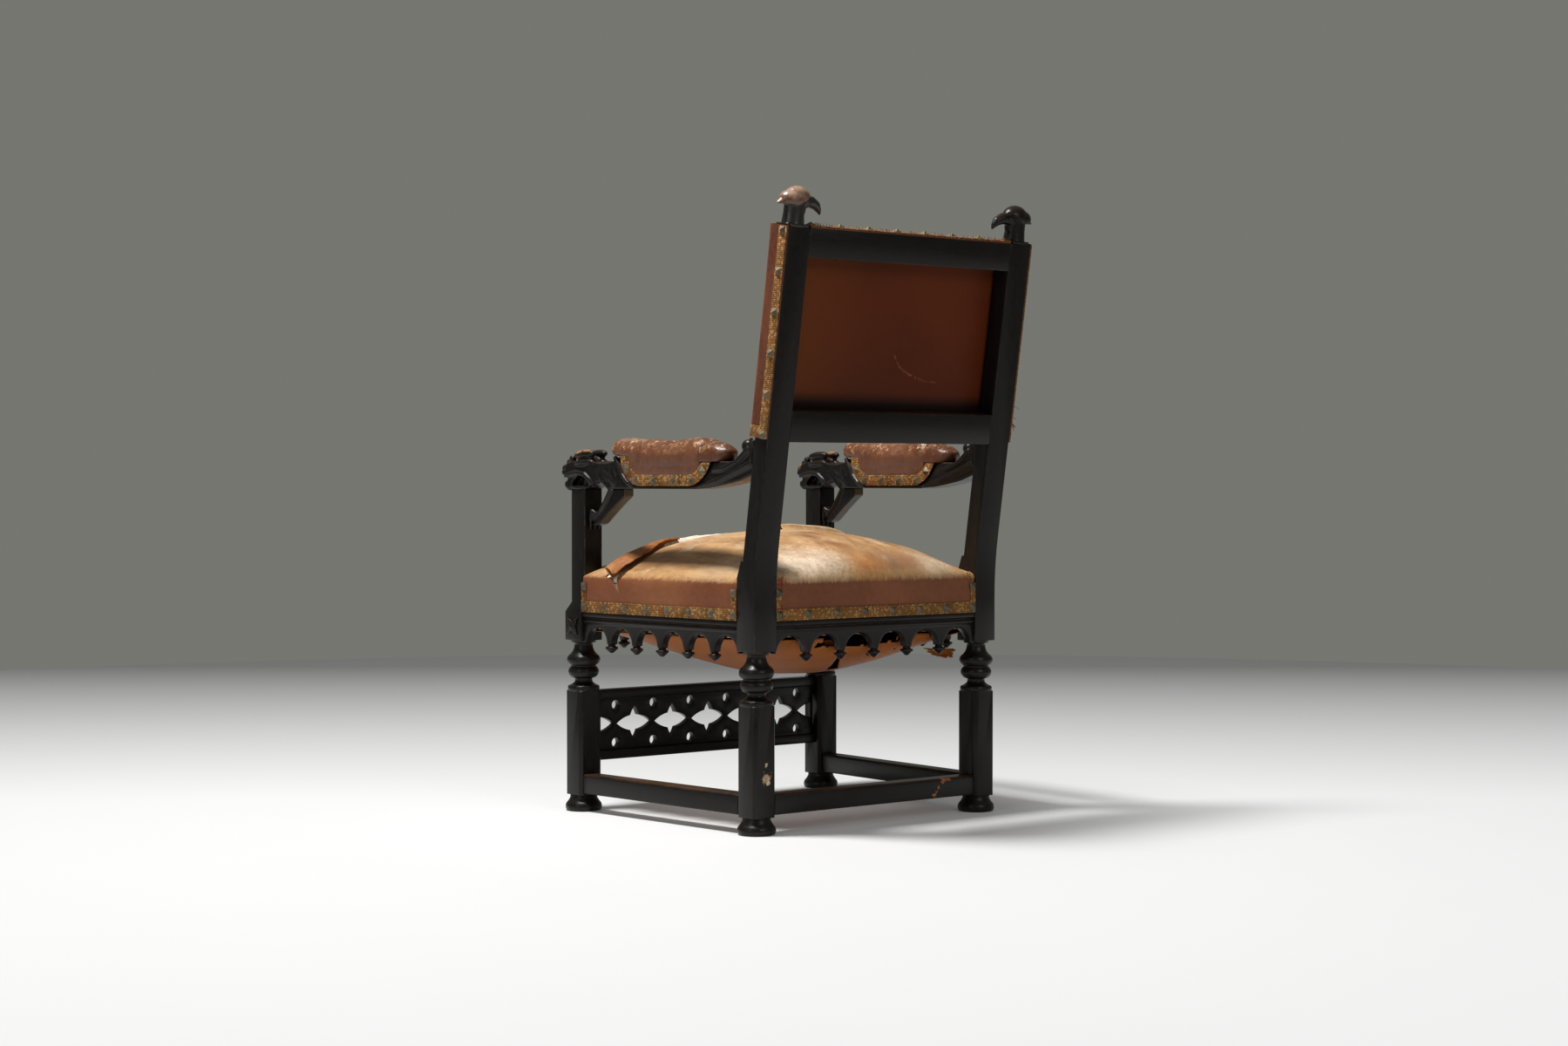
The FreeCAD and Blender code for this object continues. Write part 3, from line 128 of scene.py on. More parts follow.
bpy.ops.object.select_all(action="DESELECT")
bpy.ops.mesh.primitive_circle_add(vertices=160, radius=FLOOR_RADIUS, fill_type="NGON",
                                  location=(0, 0, -FLOOR_DROP))
floor = bpy.context.object
floor.name = "floor"
floor_finish, place, shader = new_finish("floor paint")
scuffed = cloudy(place, 3.0, 8.0, 0.5)
fill(shader, {"Base Color": mixed(scuffed, FLOOR_GREY, FLOOR_WHITE), "Roughness": 0.5})
# Painted light: the camera sees the floor glow, fainter farther behind the chair, and the glow whitens the
# chair's shadow more the farther it lies from the chair.
depth = add(place, "VectorMath", "Value", {0: place, 1: FLOOR_AWAY}, operation="DOT_PRODUCT")
round_chair = add(place, "VectorMath", "Value", {0: place}, operation="LENGTH")
painted_glow = add(place, "Emission", 0, {"Strength": between(depth, *GLOW_FADE)})
share = times(seen_ray(place), between(round_chair, *GLOW_ROUND_CHAIR))
floor_and_glow = add(place, "MixShader", 0, {0: share, 1: shader.outputs[0], 2: painted_glow})
fill(floor_finish.node_tree.nodes["Material Output"], {"Surface": floor_and_glow})
floor.data.materials.append(floor_finish)

scene = bpy.context.scene
scene.view_settings.view_transform = "Standard"
scene.world = bpy.data.worlds.new("studio")
scene.world.use_nodes = True
tree = scene.world.node_tree
fill(tree.nodes["Background"], {"Color": mixed(seen_ray(tree), ROOM_FILL, WALL_GREY)})


def soft_lamp(name, at, aim, size, power):
    bpy.ops.object.light_add(type="AREA", location=at)
    lamp = bpy.context.object
    lamp.name = name
    lamp.data.shape = "DISK"
    lamp.data.size = size
    lamp.data.energy = power
    lamp.rotation_euler = (Vector(aim) - Vector(at)).to_track_quat("-Z", "Y").to_euler()


soft_lamp("overhead lamp", (1.05, -0.35, 3.4), (0, 0, 0.3), size=0.60, power=136)
soft_lamp("left lamp", (3.4, 0.6, 1.7), (0, 0, 0.6), size=1.6, power=13)
soft_lamp("rear lamp", (0.2, 4.2, 2.6), (0, 0, 0.6), size=2.0, power=37)

turn, dip = math.radians(CAMERA_TURN), math.radians(CAMERA_DIP)
looking = Vector((-math.sin(turn) * math.cos(dip), -math.cos(turn) * math.cos(dip), -math.sin(dip)))
bpy.ops.object.camera_add(location=CAMERA_AT, rotation=looking.to_track_quat("-Z", "Y").to_euler())
scene.camera = bpy.context.object
scene.camera.data.lens = CAMERA_LENS
scene.camera.data.sensor_width = 36

# Legs and feet. Squared and turned hardwood, stained black and waxed. Each foot's spigot and each rail's
# tenon is glued into its leg. Handling has rounded the edges and rubbed the stain through to brown.
EDGE = 1.0 * MM
SHARP = math.radians(38)     # edges that turn by more than this are eased
UPRIGHT, CROSSWISE, FORE_AND_AFT = (9, 9, 1), (1, 9, 9), (9, 1, 9)
STAIN_DARK = (0.0042, 0.0038, 0.0036, 1)
STAIN_THIN = (0.0115, 0.0082, 0.0062, 1)
RUBBED = (0.085, 0.040, 0.019, 1)
DUST = (0.085, 0.080, 0.072, 1)
BARE_WOOD = (0.52, 0.36, 0.20, 1)


def plus(first, second):
    return add(first, "Math", 0, {0: first, 1: second}, operation="ADD", use_clamp=True)


def both(first, second, share):
    """Two patterns in one, with this share of the first."""
    return plus(times(first, share), times(second, 1 - share))


def part(vector, axis):
    return add(vector, "SeparateXYZ", axis, {0: vector})


def drawn(place, scale):
    """Coordinates that draw a pattern out along the axes with a small scale."""
    return add(place, "Mapping", 0, {"Vector": place, "Scale": scale})


def bumpy(height, strength, deep, **more):
    """A surface that rises and falls with a pattern, by this depth at most."""
    return add(height, "Bump", 0, {"Height": height, "Strength": strength, "Distance": deep, **more})


def spot(place, at, radius, ragged, soft=0.2):
    """1 inside a ragged spot round a point and 0 outside. Its edge is soft by this share of the radius."""
    away = add(place, "VectorMath", "Value", {0: place, 1: at}, operation="DISTANCE")
    uneven = between(cloudy(place, 160, 4), 0.3, 0.7, -ragged, ragged)
    return between(add(away, "Math", 0, {0: away, 1: uneven}), radius, (1 - soft) * radius)


def darker(colour, share):
    return [share * tone for tone in colour[:3]] + [1]


def ebonised(name, grain, tops=0.0, chips=(), thin=STAIN_THIN):
    """Black stained wood, rubbed brown on its edges and, if tops is over 0, on faces that look up."""
    finish, place, shader = new_finish(name)
    streak = cloudy(drawn(place, grain), 34, 7, 0.65)
    patch = cloudy(place, 11, 5)
    fine = cloudy(place, 70, 6, 0.7)
    facing = add(place, "NewGeometry", "Normal")
    rounded = add(place, "Bevel", 0, {"Radius": 3.5 * MM}, samples=6)
    bend = add(place, "VectorMath", "Value", {0: facing, 1: rounded}, operation="DOT_PRODUCT")
    edges = times(between(bend, 0.998, 0.93), between(fine, 0.42, 0.62))
    upward = between(part(facing, 2), 0.35, 0.95, 0.0, tops)
    worn = plus(times(edges, between(patch, 0.35, 0.65)),
                times(upward, between(plus(patch, times(fine, 0.35)), 0.45, 0.85)))
    stain = mixed(between(streak, 0.40, 0.75), STAIN_DARK, thin)
    colour = mixed(worn, stain, RUBBED)
    specks = times(between(cloudy(place, 330, 2), 0.70, 0.76), between(patch, 0.4, 0.7))
    colour = mixed(times(specks, 0.55), colour, DUST)
    for at, radius, ragged, soft, wood in chips:
        shown = mixed(between(fine, 0.35, 0.65), wood, darker(wood, 0.6))
        colour = mixed(spot(place, at, radius, ragged, soft), colour, shown)
    rough = between(both(streak, fine, 0.6), 0.3, 0.7, 0.24, 0.42)
    surface = bumpy(both(streak, fine, 0.7), 0.22, 0.8 * MM, Normal=rounded)
    fill(shader, {"Base Color": colour, "Roughness": rough, "Normal": surface, "Specular IOR Level": 0.21})
    return finish


def fitted(piece, finish, slot, *replaced):
    """Gives a finished piece its material and its body, and hides the CAD nodes that it stands for. Its slot
    is not used.
    """
    piece.data.materials.append(finish)
    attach(piece, "root")
    if replaced:
        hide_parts(*replaced)
    return piece


def cad_copy(node, name, plain_faces=True):
    """A merged copy of a CAD piece, with each flat face in one piece unless it is pierced."""
    piece = bpy.data.objects.new(name, nodes[node].data.copy())
    piece.data.materials.clear()
    bpy.context.collection.objects.link(piece)
    only(piece)
    bpy.ops.mesh.customdata_custom_splitnormals_clear()
    bpy.ops.object.mode_set(mode="EDIT")
    bpy.ops.mesh.select_all(action="SELECT")
    bpy.ops.mesh.remove_doubles(threshold=0.02 * MM)
    if plain_faces:
        bpy.ops.mesh.dissolve_limited(angle_limit=math.radians(0.8))
    bpy.ops.object.mode_set(mode="OBJECT")
    return piece


def applied(piece, kind, **settings):
    """Adds a modifier and applies it."""
    only(piece)
    bpy.ops.object.modifier_add(type=kind)
    change = piece.modifiers[-1]
    for key, value in settings.items():
        setattr(change, key, value)
    bpy.ops.object.modifier_apply(modifier=change.name)


def eased(node, edge, plain_faces=True):
    """A copy of a CAD piece with its sharp edges rounded by handling."""
    piece = cad_copy(node, node + "_piece", plain_faces)
    applied(piece, "BEVEL", width=edge, segments=2, limit_method="ANGLE", angle_limit=SHARP,
            use_clamp_overlap=False)
    bpy.ops.object.shade_smooth_by_angle(angle=SHARP)
    return piece


def dressed(node, finish, slot="dark_wood", edge=EDGE, plain_faces=True):
    """Puts an eased copy of a CAD piece in its place."""
    fitted(eased(node, edge, plain_faces), finish, slot, node)


LEG_CHIP = ((0.265, 0.225, 0.100), 10 * MM, 8 * MM, 0.3, BARE_WOOD)
LEG_CHIP_FOOT = ((0.261, 0.225, 0.092), 5 * MM, 2 * MM, 0.3, (0.70, 0.55, 0.36, 1))
LEG_CHIP_HEAD = ((0.263, 0.225, 0.123), 3 * MM, 6 * MM, 0.3, BARE_WOOD)
leg_wood = ebonised("leg wood", UPRIGHT)
near_leg_wood = ebonised("chipped leg wood", UPRIGHT, chips=(LEG_CHIP, LEG_CHIP_FOOT, LEG_CHIP_HEAD))
foot_wood = ebonised("foot wood", UPRIGHT, tops=0.25)
for end in ("front", "rear"):
    for side in ("left", "right"):
        near = (end, side) == ("rear", "left")
        dressed(end + "_leg_" + side, near_leg_wood if near else leg_wood)
        dressed("foot_" + end + "_" + side, foot_wood)

# Stretchers. Three plain bars near the floor, tenoned into the leg blocks. Shoes have worn their tops
# brown, and a knock has split a flake off the rear one.
SPLIT_WOOD = (0.46, 0.17, 0.05, 1)
FLAKES = (((-0.164, 0.220, 0.069), 8, 7), ((-0.178, 0.220, 0.068), 4, 6), ((-0.152, 0.221, 0.056), 2, 5),
          ((-0.145, 0.221, 0.047), 2, 5), ((-0.140, 0.221, 0.040), 2, 5))   # place, radius and raggedness
flake_marks = [(at, radius * MM, ragged * MM, 0.3, SPLIT_WOOD) for at, radius, ragged in FLAKES]
rear_bar_wood = ebonised("rear stretcher wood", CROSSWISE, tops=1.0, chips=flake_marks)
side_bar_wood = ebonised("side stretcher wood", FORE_AND_AFT, tops=1.0)
dressed("stretcher_rear", rear_bar_wood)
for side in ("left", "right"):
    dressed("stretcher_" + side, side_bar_wood)

# Front panel. A pierced tracery board, held by its tongue between two rails that are tenoned into the
# front legs. The openings were sawn and then bevelled with a knife.
panel_wood = ebonised("panel wood", CROSSWISE, tops=0.35)
for node in ("front_panel_top_rail", "front_panel_bottom_rail"):
    dressed(node, panel_wood)
dressed("front_tracery_panel", panel_wood, edge=0.5 * MM, plain_faces=False)

# Aprons and drops. Moulded boards with an arcade of round arches, glued into the rebates of the seat rails,
# and faceted drops glued to the foot of each pier.
apron_woods = {"front": panel_wood, "rear": ebonised("apron wood", CROSSWISE, tops=0.3),
               "left": ebonised("side apron wood", FORE_AND_AFT, tops=0.3)}
apron_woods["right"] = apron_woods["left"]
for side, wood in apron_woods.items():
    dressed("apron_" + side, wood, edge=0.7 * MM)
    dressed("apron_drops_" + side, wood, edge=0.8 * MM)
dressed("leg_rosettes", leg_wood, edge=1.4 * MM)

# Seat rails and corner blocks. Unstained beech under the leather, rebated for the aprons and held at the
# corners by glued blocks. Only their undersides can be seen, through the torn cover.
PALE_BEECH = (0.40, 0.27, 0.15, 1)
DULL_BEECH = (0.22, 0.14, 0.075, 1)
RAIL_GRIME = (0.09, 0.055, 0.03, 1)


def raw_wood(name, grain):
    finish, place, shader = new_finish(name)
    streak = cloudy(drawn(place, grain), 26, 7, 0.6)
    grime = cloudy(place, 14, 5)
    colour = mixed(between(streak, 0.3, 0.7), DULL_BEECH, PALE_BEECH)
    colour = mixed(between(grime, 0.5, 0.75, 0, 0.6), colour, RAIL_GRIME)
    fill(shader, {"Base Color": colour, "Roughness": 0.75, "Normal": bumpy(streak, 0.4, 1.0 * MM)})
    return finish


cross_rail = raw_wood("rail wood", CROSSWISE)
side_rail = raw_wood("side rail wood", FORE_AND_AFT)
rail_woods = {"front": cross_rail, "left": side_rail, "rear": cross_rail, "right": side_rail}
for side, wood in rail_woods.items():
    dressed("seat_rail_" + side, wood, "raw_wood")
dressed("corner_blocks", cross_rail, "raw_wood")

# Back rails. Two plain rails tenoned between the stiles, flush with their rear faces, brown where the
# stain has thinned.
RAIL_THIN = (0.0105, 0.0060, 0.0030, 1)
back_rail_wood = ebonised("back rail wood", CROSSWISE, tops=0.5, thin=RAIL_THIN)
for node in ("back_top_rail", "back_lower_rail"):
    dressed(node, back_rail_wood)

# Finials. Two bird heads carved in the round, dowelled into the tops of the stiles. Hands have rubbed the
# crown of the left one to a copper colour.
FINIAL_CROWN = (0.370, 0.228, 0.150, 1)
CROWN_PAINTED_SHADE = (0.100, 0.043, 0.021, 1)
BACK_LEAN = 8.9              # degrees that the stiles lean back
LEAN_AT = Vector((0, 0.225, 0.462))
FINIAL_AT = Vector((0.267, 0.2045, 1.067))   # the middle of the left stile's top, before it leans


def lump(size, at, tip=0.0, swing=0.0):
    """A lump of clay: an egg of these half sizes, tipped about X and swung about Z, in millimetres."""
    bpy.ops.mesh.primitive_uv_sphere_add(segments=24, ring_count=14, radius=1, location=Vector(at) * MM,
                                         rotation=(math.radians(tip), 0, math.radians(swing)),
                                         scale=Vector(size) * MM)
    return bpy.context.object


def strand(points, sizes, steps=10):
    """A row of round lumps through these points, thinning from one size to the next."""
    row = []
    for (first, second), (big, small) in zip(zip(points, points[1:]), zip(sizes, sizes[1:])):
        for k in range(steps + 1):
            share = k / steps
            at = Vector(first).lerp(Vector(second), share)
            radius = big + (small - big) * share
            row.append(lump((radius, radius, radius), at))
    return row


def in_edit(piece, *steps):
    """Takes these steps on a piece in edit mode, each with the whole piece selected."""
    only(piece)
    bpy.ops.object.mode_set(mode="EDIT")
    for step in steps:
        bpy.ops.mesh.select_all(action="SELECT")
        step()
    bpy.ops.object.mode_set(mode="OBJECT")


def face_out():
    bpy.ops.mesh.normals_make_consistent(inside=False)


def profile_block(points, low, high):
    """A block with this side outline (along, up), from low to high across, in millimetres."""
    bpy.ops.mesh.primitive_circle_add(vertices=len(points), fill_type="NGON")
    block = bpy.context.object
    for vertex, (along, up) in zip(block.data.vertices, points):
        vertex.co = Vector((low, along, up)) * MM
    across = {"value": ((high - low) * MM, 0, 0)}
    in_edit(block, lambda: bpy.ops.mesh.extrude_region_move(TRANSFORM_OT_translate=across), face_out)
    return block


def joined(pieces):
    """Joins pieces into the first of them."""
    bpy.ops.object.select_all(action="DESELECT")
    for piece in pieces:
        piece.select_set(True)
    bpy.context.view_layer.objects.active = pieces[0]
    bpy.ops.object.join()
    return bpy.context.object


def carved(name, blocks, voxel, passes, cuts=()):
    """Joins blocks into one skin, hollows it with cutters, and smooths the tool marks."""
    piece = joined(blocks)
    piece.name = name
    bpy.ops.object.transform_apply()
    applied(piece, "REMESH", mode="VOXEL", voxel_size=voxel * MM)
    for cutter in cuts:
        only(cutter)
        bpy.ops.object.transform_apply()
        applied(piece, "BOOLEAN", operation="DIFFERENCE", object=cutter)
        bpy.data.objects.remove(cutter)
    if cuts:
        applied(piece, "REMESH", mode="VOXEL", voxel_size=voxel * MM)
    applied(piece, "SMOOTH", factor=0.5, iterations=passes)
    bpy.ops.object.shade_smooth()
    return piece


def set_down(piece, at, turn):
    """Moves a piece from its drawing to its place: turned (radians), then shifted."""
    only(piece)
    piece.rotation_euler = turn
    piece.location = at
    bpy.ops.object.transform_apply()


def leant(piece):
    """Leans a piece that was drawn upright back with the stiles."""
    set_down(piece, -LEAN_AT, (0, 0, 0))
    set_down(piece, LEAN_AT, (math.radians(-BACK_LEAN), 0, 0))


def other_side(piece, name):
    """A mirrored copy for the chair's right side."""
    twin = bpy.data.objects.new(name, piece.data.copy())
    bpy.context.collection.objects.link(twin)
    only(twin)
    twin.scale.x = -1
    bpy.ops.object.transform_apply()
    in_edit(twin, face_out)
    return twin


def trimmed(piece, at, upward):
    """Cuts off what lies under a plane through a point, in millimetres, and closes the cut."""
    only(piece)
    bpy.ops.object.transform_apply()
    in_edit(piece, lambda: bpy.ops.mesh.bisect(plane_co=Vector(at) * MM, plane_no=upward, use_fill=True,
                                               clear_inner=True))


RIM_AT = (5, 0, 37.5)
BROW_SLOPE = (0.476, 0, 0.879)


def bird_head(name):
    """Drawn on the top of the left stile, with its beak towards the middle of the chair."""
    neck = strand([(0, 0, 5), (0, 0, 22), (0, 0, 44)], [20.3, 18.6, 18.2], 8)
    foot = [profile_block([(-20.3, 0.3), (20.3, 0.3), (20.3, 5), (-20.3, 5)], -20.5, 20.5)]
    face = [lump((14, 14, 11), (-18, 0, 42)), lump((10, 11, 16), (-13, 0, 30))]
    cap = lump((26.5, 21, 22), (-4, 0, 48))
    trimmed(cap, RIM_AT, BROW_SLOPE)
    nape = [lump((24, 20.5, 17), (8, 0, 46))]
    nape += strand([(16, 0, 45), (28, 0, 40), (39, 0, 37.5)], [14, 8, 2.2], 9)
    for block in nape:
        trimmed(block, RIM_AT, (0, 0, 1))
    beak = strand([(-20, 0, 45), (-35, 0, 44), (-47, 0, 39), (-54, 0, 32), (-58, 0, 25)],
                  [11, 10.5, 8.5, 5.5, 2.2], 8)
    eyes = [lump((3.4, 2.4, 3.4), (-19, side * 13.5, 43)) for side in (-1, 1)]
    head = carved(name, neck + foot + face + [cap] + nape + beak + eyes, voxel=1.0, passes=2)
    set_down(head, FINIAL_AT, (0, 0, 0))
    return head


def crown_wood():
    """Finial wood, rubbed to copper above the rim of the cap, paler with painted light on faces that look up
    and darker with painted shade on faces that look down.
    """
    finish = ebonised("worn finial wood", UPRIGHT, 0.3)
    place, shader = opened(finish)
    lean = Matrix.Rotation(math.radians(-BACK_LEAN), 3, "X")
    rim = LEAN_AT + lean @ (FINIAL_AT + Vector(RIM_AT) * MM - LEAN_AT)
    away = add(place, "VectorMath", 0, {0: place, 1: rim}, operation="SUBTRACT")
    shown = 1.0
    for slope in ((0, 0, 1), BROW_SLOPE):
        upward = lean @ Vector(slope)
        above = add(away, "VectorMath", "Value", {0: away, 1: upward}, operation="DOT_PRODUCT")
        shown = times(between(above, -0.6 * MM, 1.2 * MM), shown)
    patch = cloudy(place, 70, 5)
    # Painted light and shade, partly rubbing: the copper is paler the more a face looks up.
    top_lit_and_rubbed = between(part(add(place, "NewGeometry", "Normal"), 2), -0.1, 0.8, 0.0, 0.75)
    rubbed = plus(top_lit_and_rubbed, between(patch, 0.40, 0.62, -0.2, 0.25))
    copper = mixed(rubbed, CROWN_PAINTED_SHADE, FINIAL_CROWN)
    stain = shader.inputs["Base Color"].links[0].from_socket
    fill(shader, {"Base Color": mixed(times(shown, 0.95), stain, copper), "Specular IOR Level": 0.5})
    return finish


finial_left = bird_head("finial_left_carving")
leant(finial_left)
finial_right = other_side(finial_left, "finial_right_carving")
fitted(finial_left, crown_wood(), "dark_wood", "finial_left")
fitted(finial_right, ebonised("finial wood", UPRIGHT, 0.35), "dark_wood", "finial_right")

# Arms. Each is one carved piece: a goggle-eyed beast's head that bites on the arm post, a collar, a scooped
# tray for the pad, and a reeded tail that rises to a rolled leaf at the stile, into which it is tenoned.
ARM_AT = (0.290, -0.2805, 0.608)
ARM_TURN = 2.675             # degrees, from the post in to the stile
COPPER = (0.42, 0.19, 0.075, 1)


def lump_pairs(table):
    """Lumps on both sides, from a table of sizes, places on the left, tips and swings."""
    return [lump(size, (side * x, y, z), tip, side * swing)
            for side in (-1, 1) for size, (x, y, z), tip, swing in table]


def strand_pairs(table):
    """Strands on both sides, from a table of points on the left, sizes and steps."""
    rows = []
    for side in (-1, 1):
        for points, sizes, steps in table:
            rows += strand([(side * x, y, z) for x, y, z in points], sizes, steps)
    return rows


def carved_arm(name):
    underside = [(512, 25), (492, 25), (455, 14), (417, 7.5), (380, 2.5), (342, 0), (240, 0), (96, 0),
                 (80, 8), (64, 13), (44, 10), (24, 0), (-20, 0)]
    face = [(-30, 6), (-38, 20), (-42, 36), (-34, 48), (-15, 52), (14, 54), (45, 50), (72, 46), (100, 50),
            (117, 55), (124, 50)]
    tray = [(130, 44), (138, 32), (150, 19), (166, 9), (186, 4), (250, 4), (322, 4), (345, 9), (366, 22),
            (384, 42), (392, 48)]
    tail = [(444, 49), (470, 60), (486, 82), (492, 86), (512, 86)]
    tray_core = [(150, 4), (350, 4), (372, 30), (380, 36), (340, 17), (320, 15), (190, 15), (165, 24),
                 (150, 40), (140, 40)]
    parts = [profile_block(underside + face + tray + tail, -21, 21), profile_block(tray_core, -19, 19)]
    snout_to_collar = (((14, 10, 10), -55, 38), ((16, 18, 13), -38, 41), ((15, 32, 15), 8, 47),
                       ((15, 34, 9), 66, 43), ((21.5, 7, 9), 113, 51), ((9, 9, 7), -47, 50))
    parts += [lump(size, (0, forth, up)) for size, forth, up in snout_to_collar]
    parts += lump_pairs((((10, 28, 9), (16, 15.5, 64.5), 4, 5), ((9, 27, 6), (18, 15.5, 49.5), 4, 5),
                         ((7, 22, 9), (14.5, 15.5, 57), 0, 5), ((7, 7.5, 6.5), (10.5, -28, 57), 0, 0),
                         ((6, 8, 7), (12, -50, 31), 0, 0), ((6, 26, 20), (18, 78, 28), -25, 0),
                         ((5, 12, 22), (20, 104, 24), 14, 0), ((7, 9, 9), (15, -31, 5), 0, 0),
                         ((5, 6, 8), (16, -38, 8), 0, 0), ((6, 22, 4), (18, 0, 2), 0, 0),
                         ((11, 13, 12), (15, 477, 76), 0, 0)))
    lip = ((19, -40, 22), (21, -26, 27), (22, 0, 30), (22, 20, 27), (21.5, 36, 17), (20, 46, 6))
    jaw = ((21, 56, 32), (21.5, 70, 20), (19, 90, 2))
    scoop = ((20, 112, 57), (22.5, 121, 44), (23, 133, 26), (23, 150, 11), (22.5, 172, 2.5))
    low_reed = ((21, 352, 5), (21.5, 400, 15), (21.5, 450, 32), (21.5, 492, 46))
    high_reed = ((21, 388, 34), (21.5, 420, 37), (21.5, 455, 48), (21.5, 484, 70))
    leaf = ((21, 492, 48), (21.5, 493, 70), (20, 490, 88))
    parts += strand_pairs(((lip, (4, 4.2, 4.5, 4.5, 4.2, 3.5), 8), (jaw, (3, 4, 4), 8),
                           (scoop, (4.5, 3.5, 3.2, 3, 2.5), 10), (low_reed, (3, 5, 6, 6.5), 12),
                           (high_reed, (3, 5, 6, 6), 12), (leaf, (5, 4, 3.4), 10)))
    gape = [(-21.5, 5), (-17, 14), (-8, 21), (2, 24), (14, 22), (25, 14), (31.7, 5)]
    teeth = [(-70, 16), (-36, 14), (-30, 20), (-70, 24)]
    cuts = [profile_block(gape, 6, 60), profile_block(gape, -60, -6), profile_block(teeth, -40, 40)]
    cuts += lump_pairs((((8, 26, 2.6), (27, 15.5, 57), 4, 5), ((2.5, 2.5, 13), (17, -42, 44), 0, 0),
                        ((3, 55, 2), (25, 440, 37), 20, 0), ((2.5, 22, 2.2), (24, 92, 44), -12, 0),
                        ((2.5, 26, 2.2), (24, 88, 28), -30, 0)))
    tray_side = [(126, 70), (126, 52), (134, 42), (142, 28), (154, 16), (168, 8), (188, 5.5), (322, 5.5),
                 (344, 11), (364, 24), (382, 44), (392, 50.5), (400, 70)]
    cuts += [profile_block(tray_side, low, low + 10) for low in (-31, 20.8)]
    arm = carved(name, parts, voxel=1.35, passes=2, cuts=cuts)
    set_down(arm, ARM_AT, (0, 0, math.radians(ARM_TURN)))
    return arm


arm_left = carved_arm("arm_left_carving")
arm_right = other_side(arm_left, "arm_right_carving")
BEAST_RUBBED = ((306, -276, 686, 17, 2, 0.3), (304, -256, 688, 16, 2, 0.4), (300, -309, 669, 7, 2, 0.5),
                (290, -338, 648, 13, 3, 0.5))   # place, radius, raggedness and softness of each patch
for label, side, arm in (("left", 1, arm_left), ("right", -1, arm_right)):
    patches = [((side * x * MM, y * MM, z * MM), radius * MM, ragged * MM, soft, COPPER)
               for x, y, z, radius, ragged, soft in BEAST_RUBBED]
    fitted(arm, ebonised("arm wood " + label, FORE_AND_AFT, 0.3, patches), "dark_wood", "arm_" + label)

# Brackets. The beast's forelegs: each runs from the underside of the arm to a clawed paw on the arm post,
# with a rough glue block left unstained behind it.
GLUE_DARK, GLUE_PALE = (0.045, 0.035, 0.018, 1), (0.14, 0.11, 0.06, 1)


def foreleg(name):
    outline = [(98, 0), (127, 0), (127, -14), (113, -23), (92, -37), (70, -53), (54, -65), (44, -69),
               (30, -69), (40, -60), (60, -44), (82, -22)]
    parts = [profile_block(outline, -11, 11)]
    parts += strand([(0, 88, -2), (0, 66, -26), (0, 48, -46), (0, 34, -60)], [13, 9.5, 7.5, 8], 9)
    sinew = ((11, 88, 0), (9, 66, -24), (8, 47, -44), (8, 35, -54))
    parts += strand_pairs(((sinew, (5, 3.6, 3.2, 3.6), 9),))
    for side in (-1, 0, 1):
        parts += strand([(side * 9, 36, -46), (side * 10, 29.5, -43), (side * 10.5, 27, -56)], [5, 5.6, 5], 5)
        parts += strand([(side * 10.5, 26.5, -60), (side * 10.5, 24.5, -76)], [3.8, 1.7], 6)
    cuts = lump_pairs((((1.6, 26, 2), (4.6, 56, -29), 45, 0), ((1.3, 9, 14), (5, 27, -50), 0, 0)))
    leg = carved(name, parts, voxel=1.15, passes=1, cuts=cuts)
    set_down(leg, ARM_AT, (0, 0, math.radians(ARM_TURN)))
    return leg


def bracket_wood():
    """Stained wood, bare on the rear of the glue block."""
    finish = ebonised("bracket wood", UPRIGHT, 0.3)
    place, shader = opened(finish)
    facing = part(add(place, "NewGeometry", "Normal"), 1)
    bare = times(between(facing, 0.45, 0.65), between(part(place, 1), -0.235, -0.225))
    stain = shader.inputs["Base Color"].links[0].from_socket
    fill(shader, {"Base Color": mixed(bare, stain, mixed(cloudy(place, 60), GLUE_DARK, GLUE_PALE))})
    return finish


glue_block_wood = bracket_wood()
bracket_left = foreleg("bracket_left_carving")
bracket_right = other_side(bracket_left, "bracket_right_carving")
for piece, side in ((bracket_left, "left"), (bracket_right, "right")):
    fitted(piece, glue_block_wood, "dark_wood", "arm_bracket_" + side)

# Seat foundation. Jute straps nailed under the rails, coil springs tied between them and a hessian cloth,
# all hidden but for a glimpse through the torn cover.
JUTE_PALE = (0.34, 0.22, 0.11, 1)
JUTE_DARK = (0.12, 0.07, 0.03, 1)
WIRE_GREY, WIRE_RUST = (0.10, 0.09, 0.085, 1), (0.16, 0.06, 0.025, 1)


def woven(name, pale, dark, pitch):
    """Plain weave of threads this far apart, in metres."""
    finish, place, shader = new_finish(name)
    weave = {"Vector": place, "Scale": 1 / pitch / 6.3, "Distortion": 0.6, "Detail": 2}
    warp, weft = [add(place, "TexWave", 0, weave, bands_direction=axis) for axis in "XY"]
    threads = times(warp, weft)
    clean = between(cloudy(place, 18), 0.3, 0.7)
    colour = mixed(times(between(threads, 0.05, 0.6), clean), dark, pale)
    fill(shader, {"Base Color": colour, "Roughness": 0.9, "Normal": bumpy(threads, 0.6, 1 * MM)})
    return finish


jute = woven("jute", JUTE_PALE, JUTE_DARK, 2.2 * MM)
for node in ("seat_webbing", "seat_hessian", "back_webbing", "back_hessian"):
    fitted(cad_copy(node, node + "_cloth"), jute, "jute", node)
wire, place, shader = new_finish("spring wire")
rust = cloudy(place, 40)
fill(shader, {"Base Color": mixed(between(rust, 0.4, 0.65), WIRE_GREY, WIRE_RUST),
              "Roughness": between(rust, 0.4, 0.65, 0.35, 0.8), "Metallic": 0.8})
fitted(cad_copy("seat_springs", "seat_springs_wire"), wire, "spring_wire", "seat_springs")
bpy.ops.object.shade_smooth()

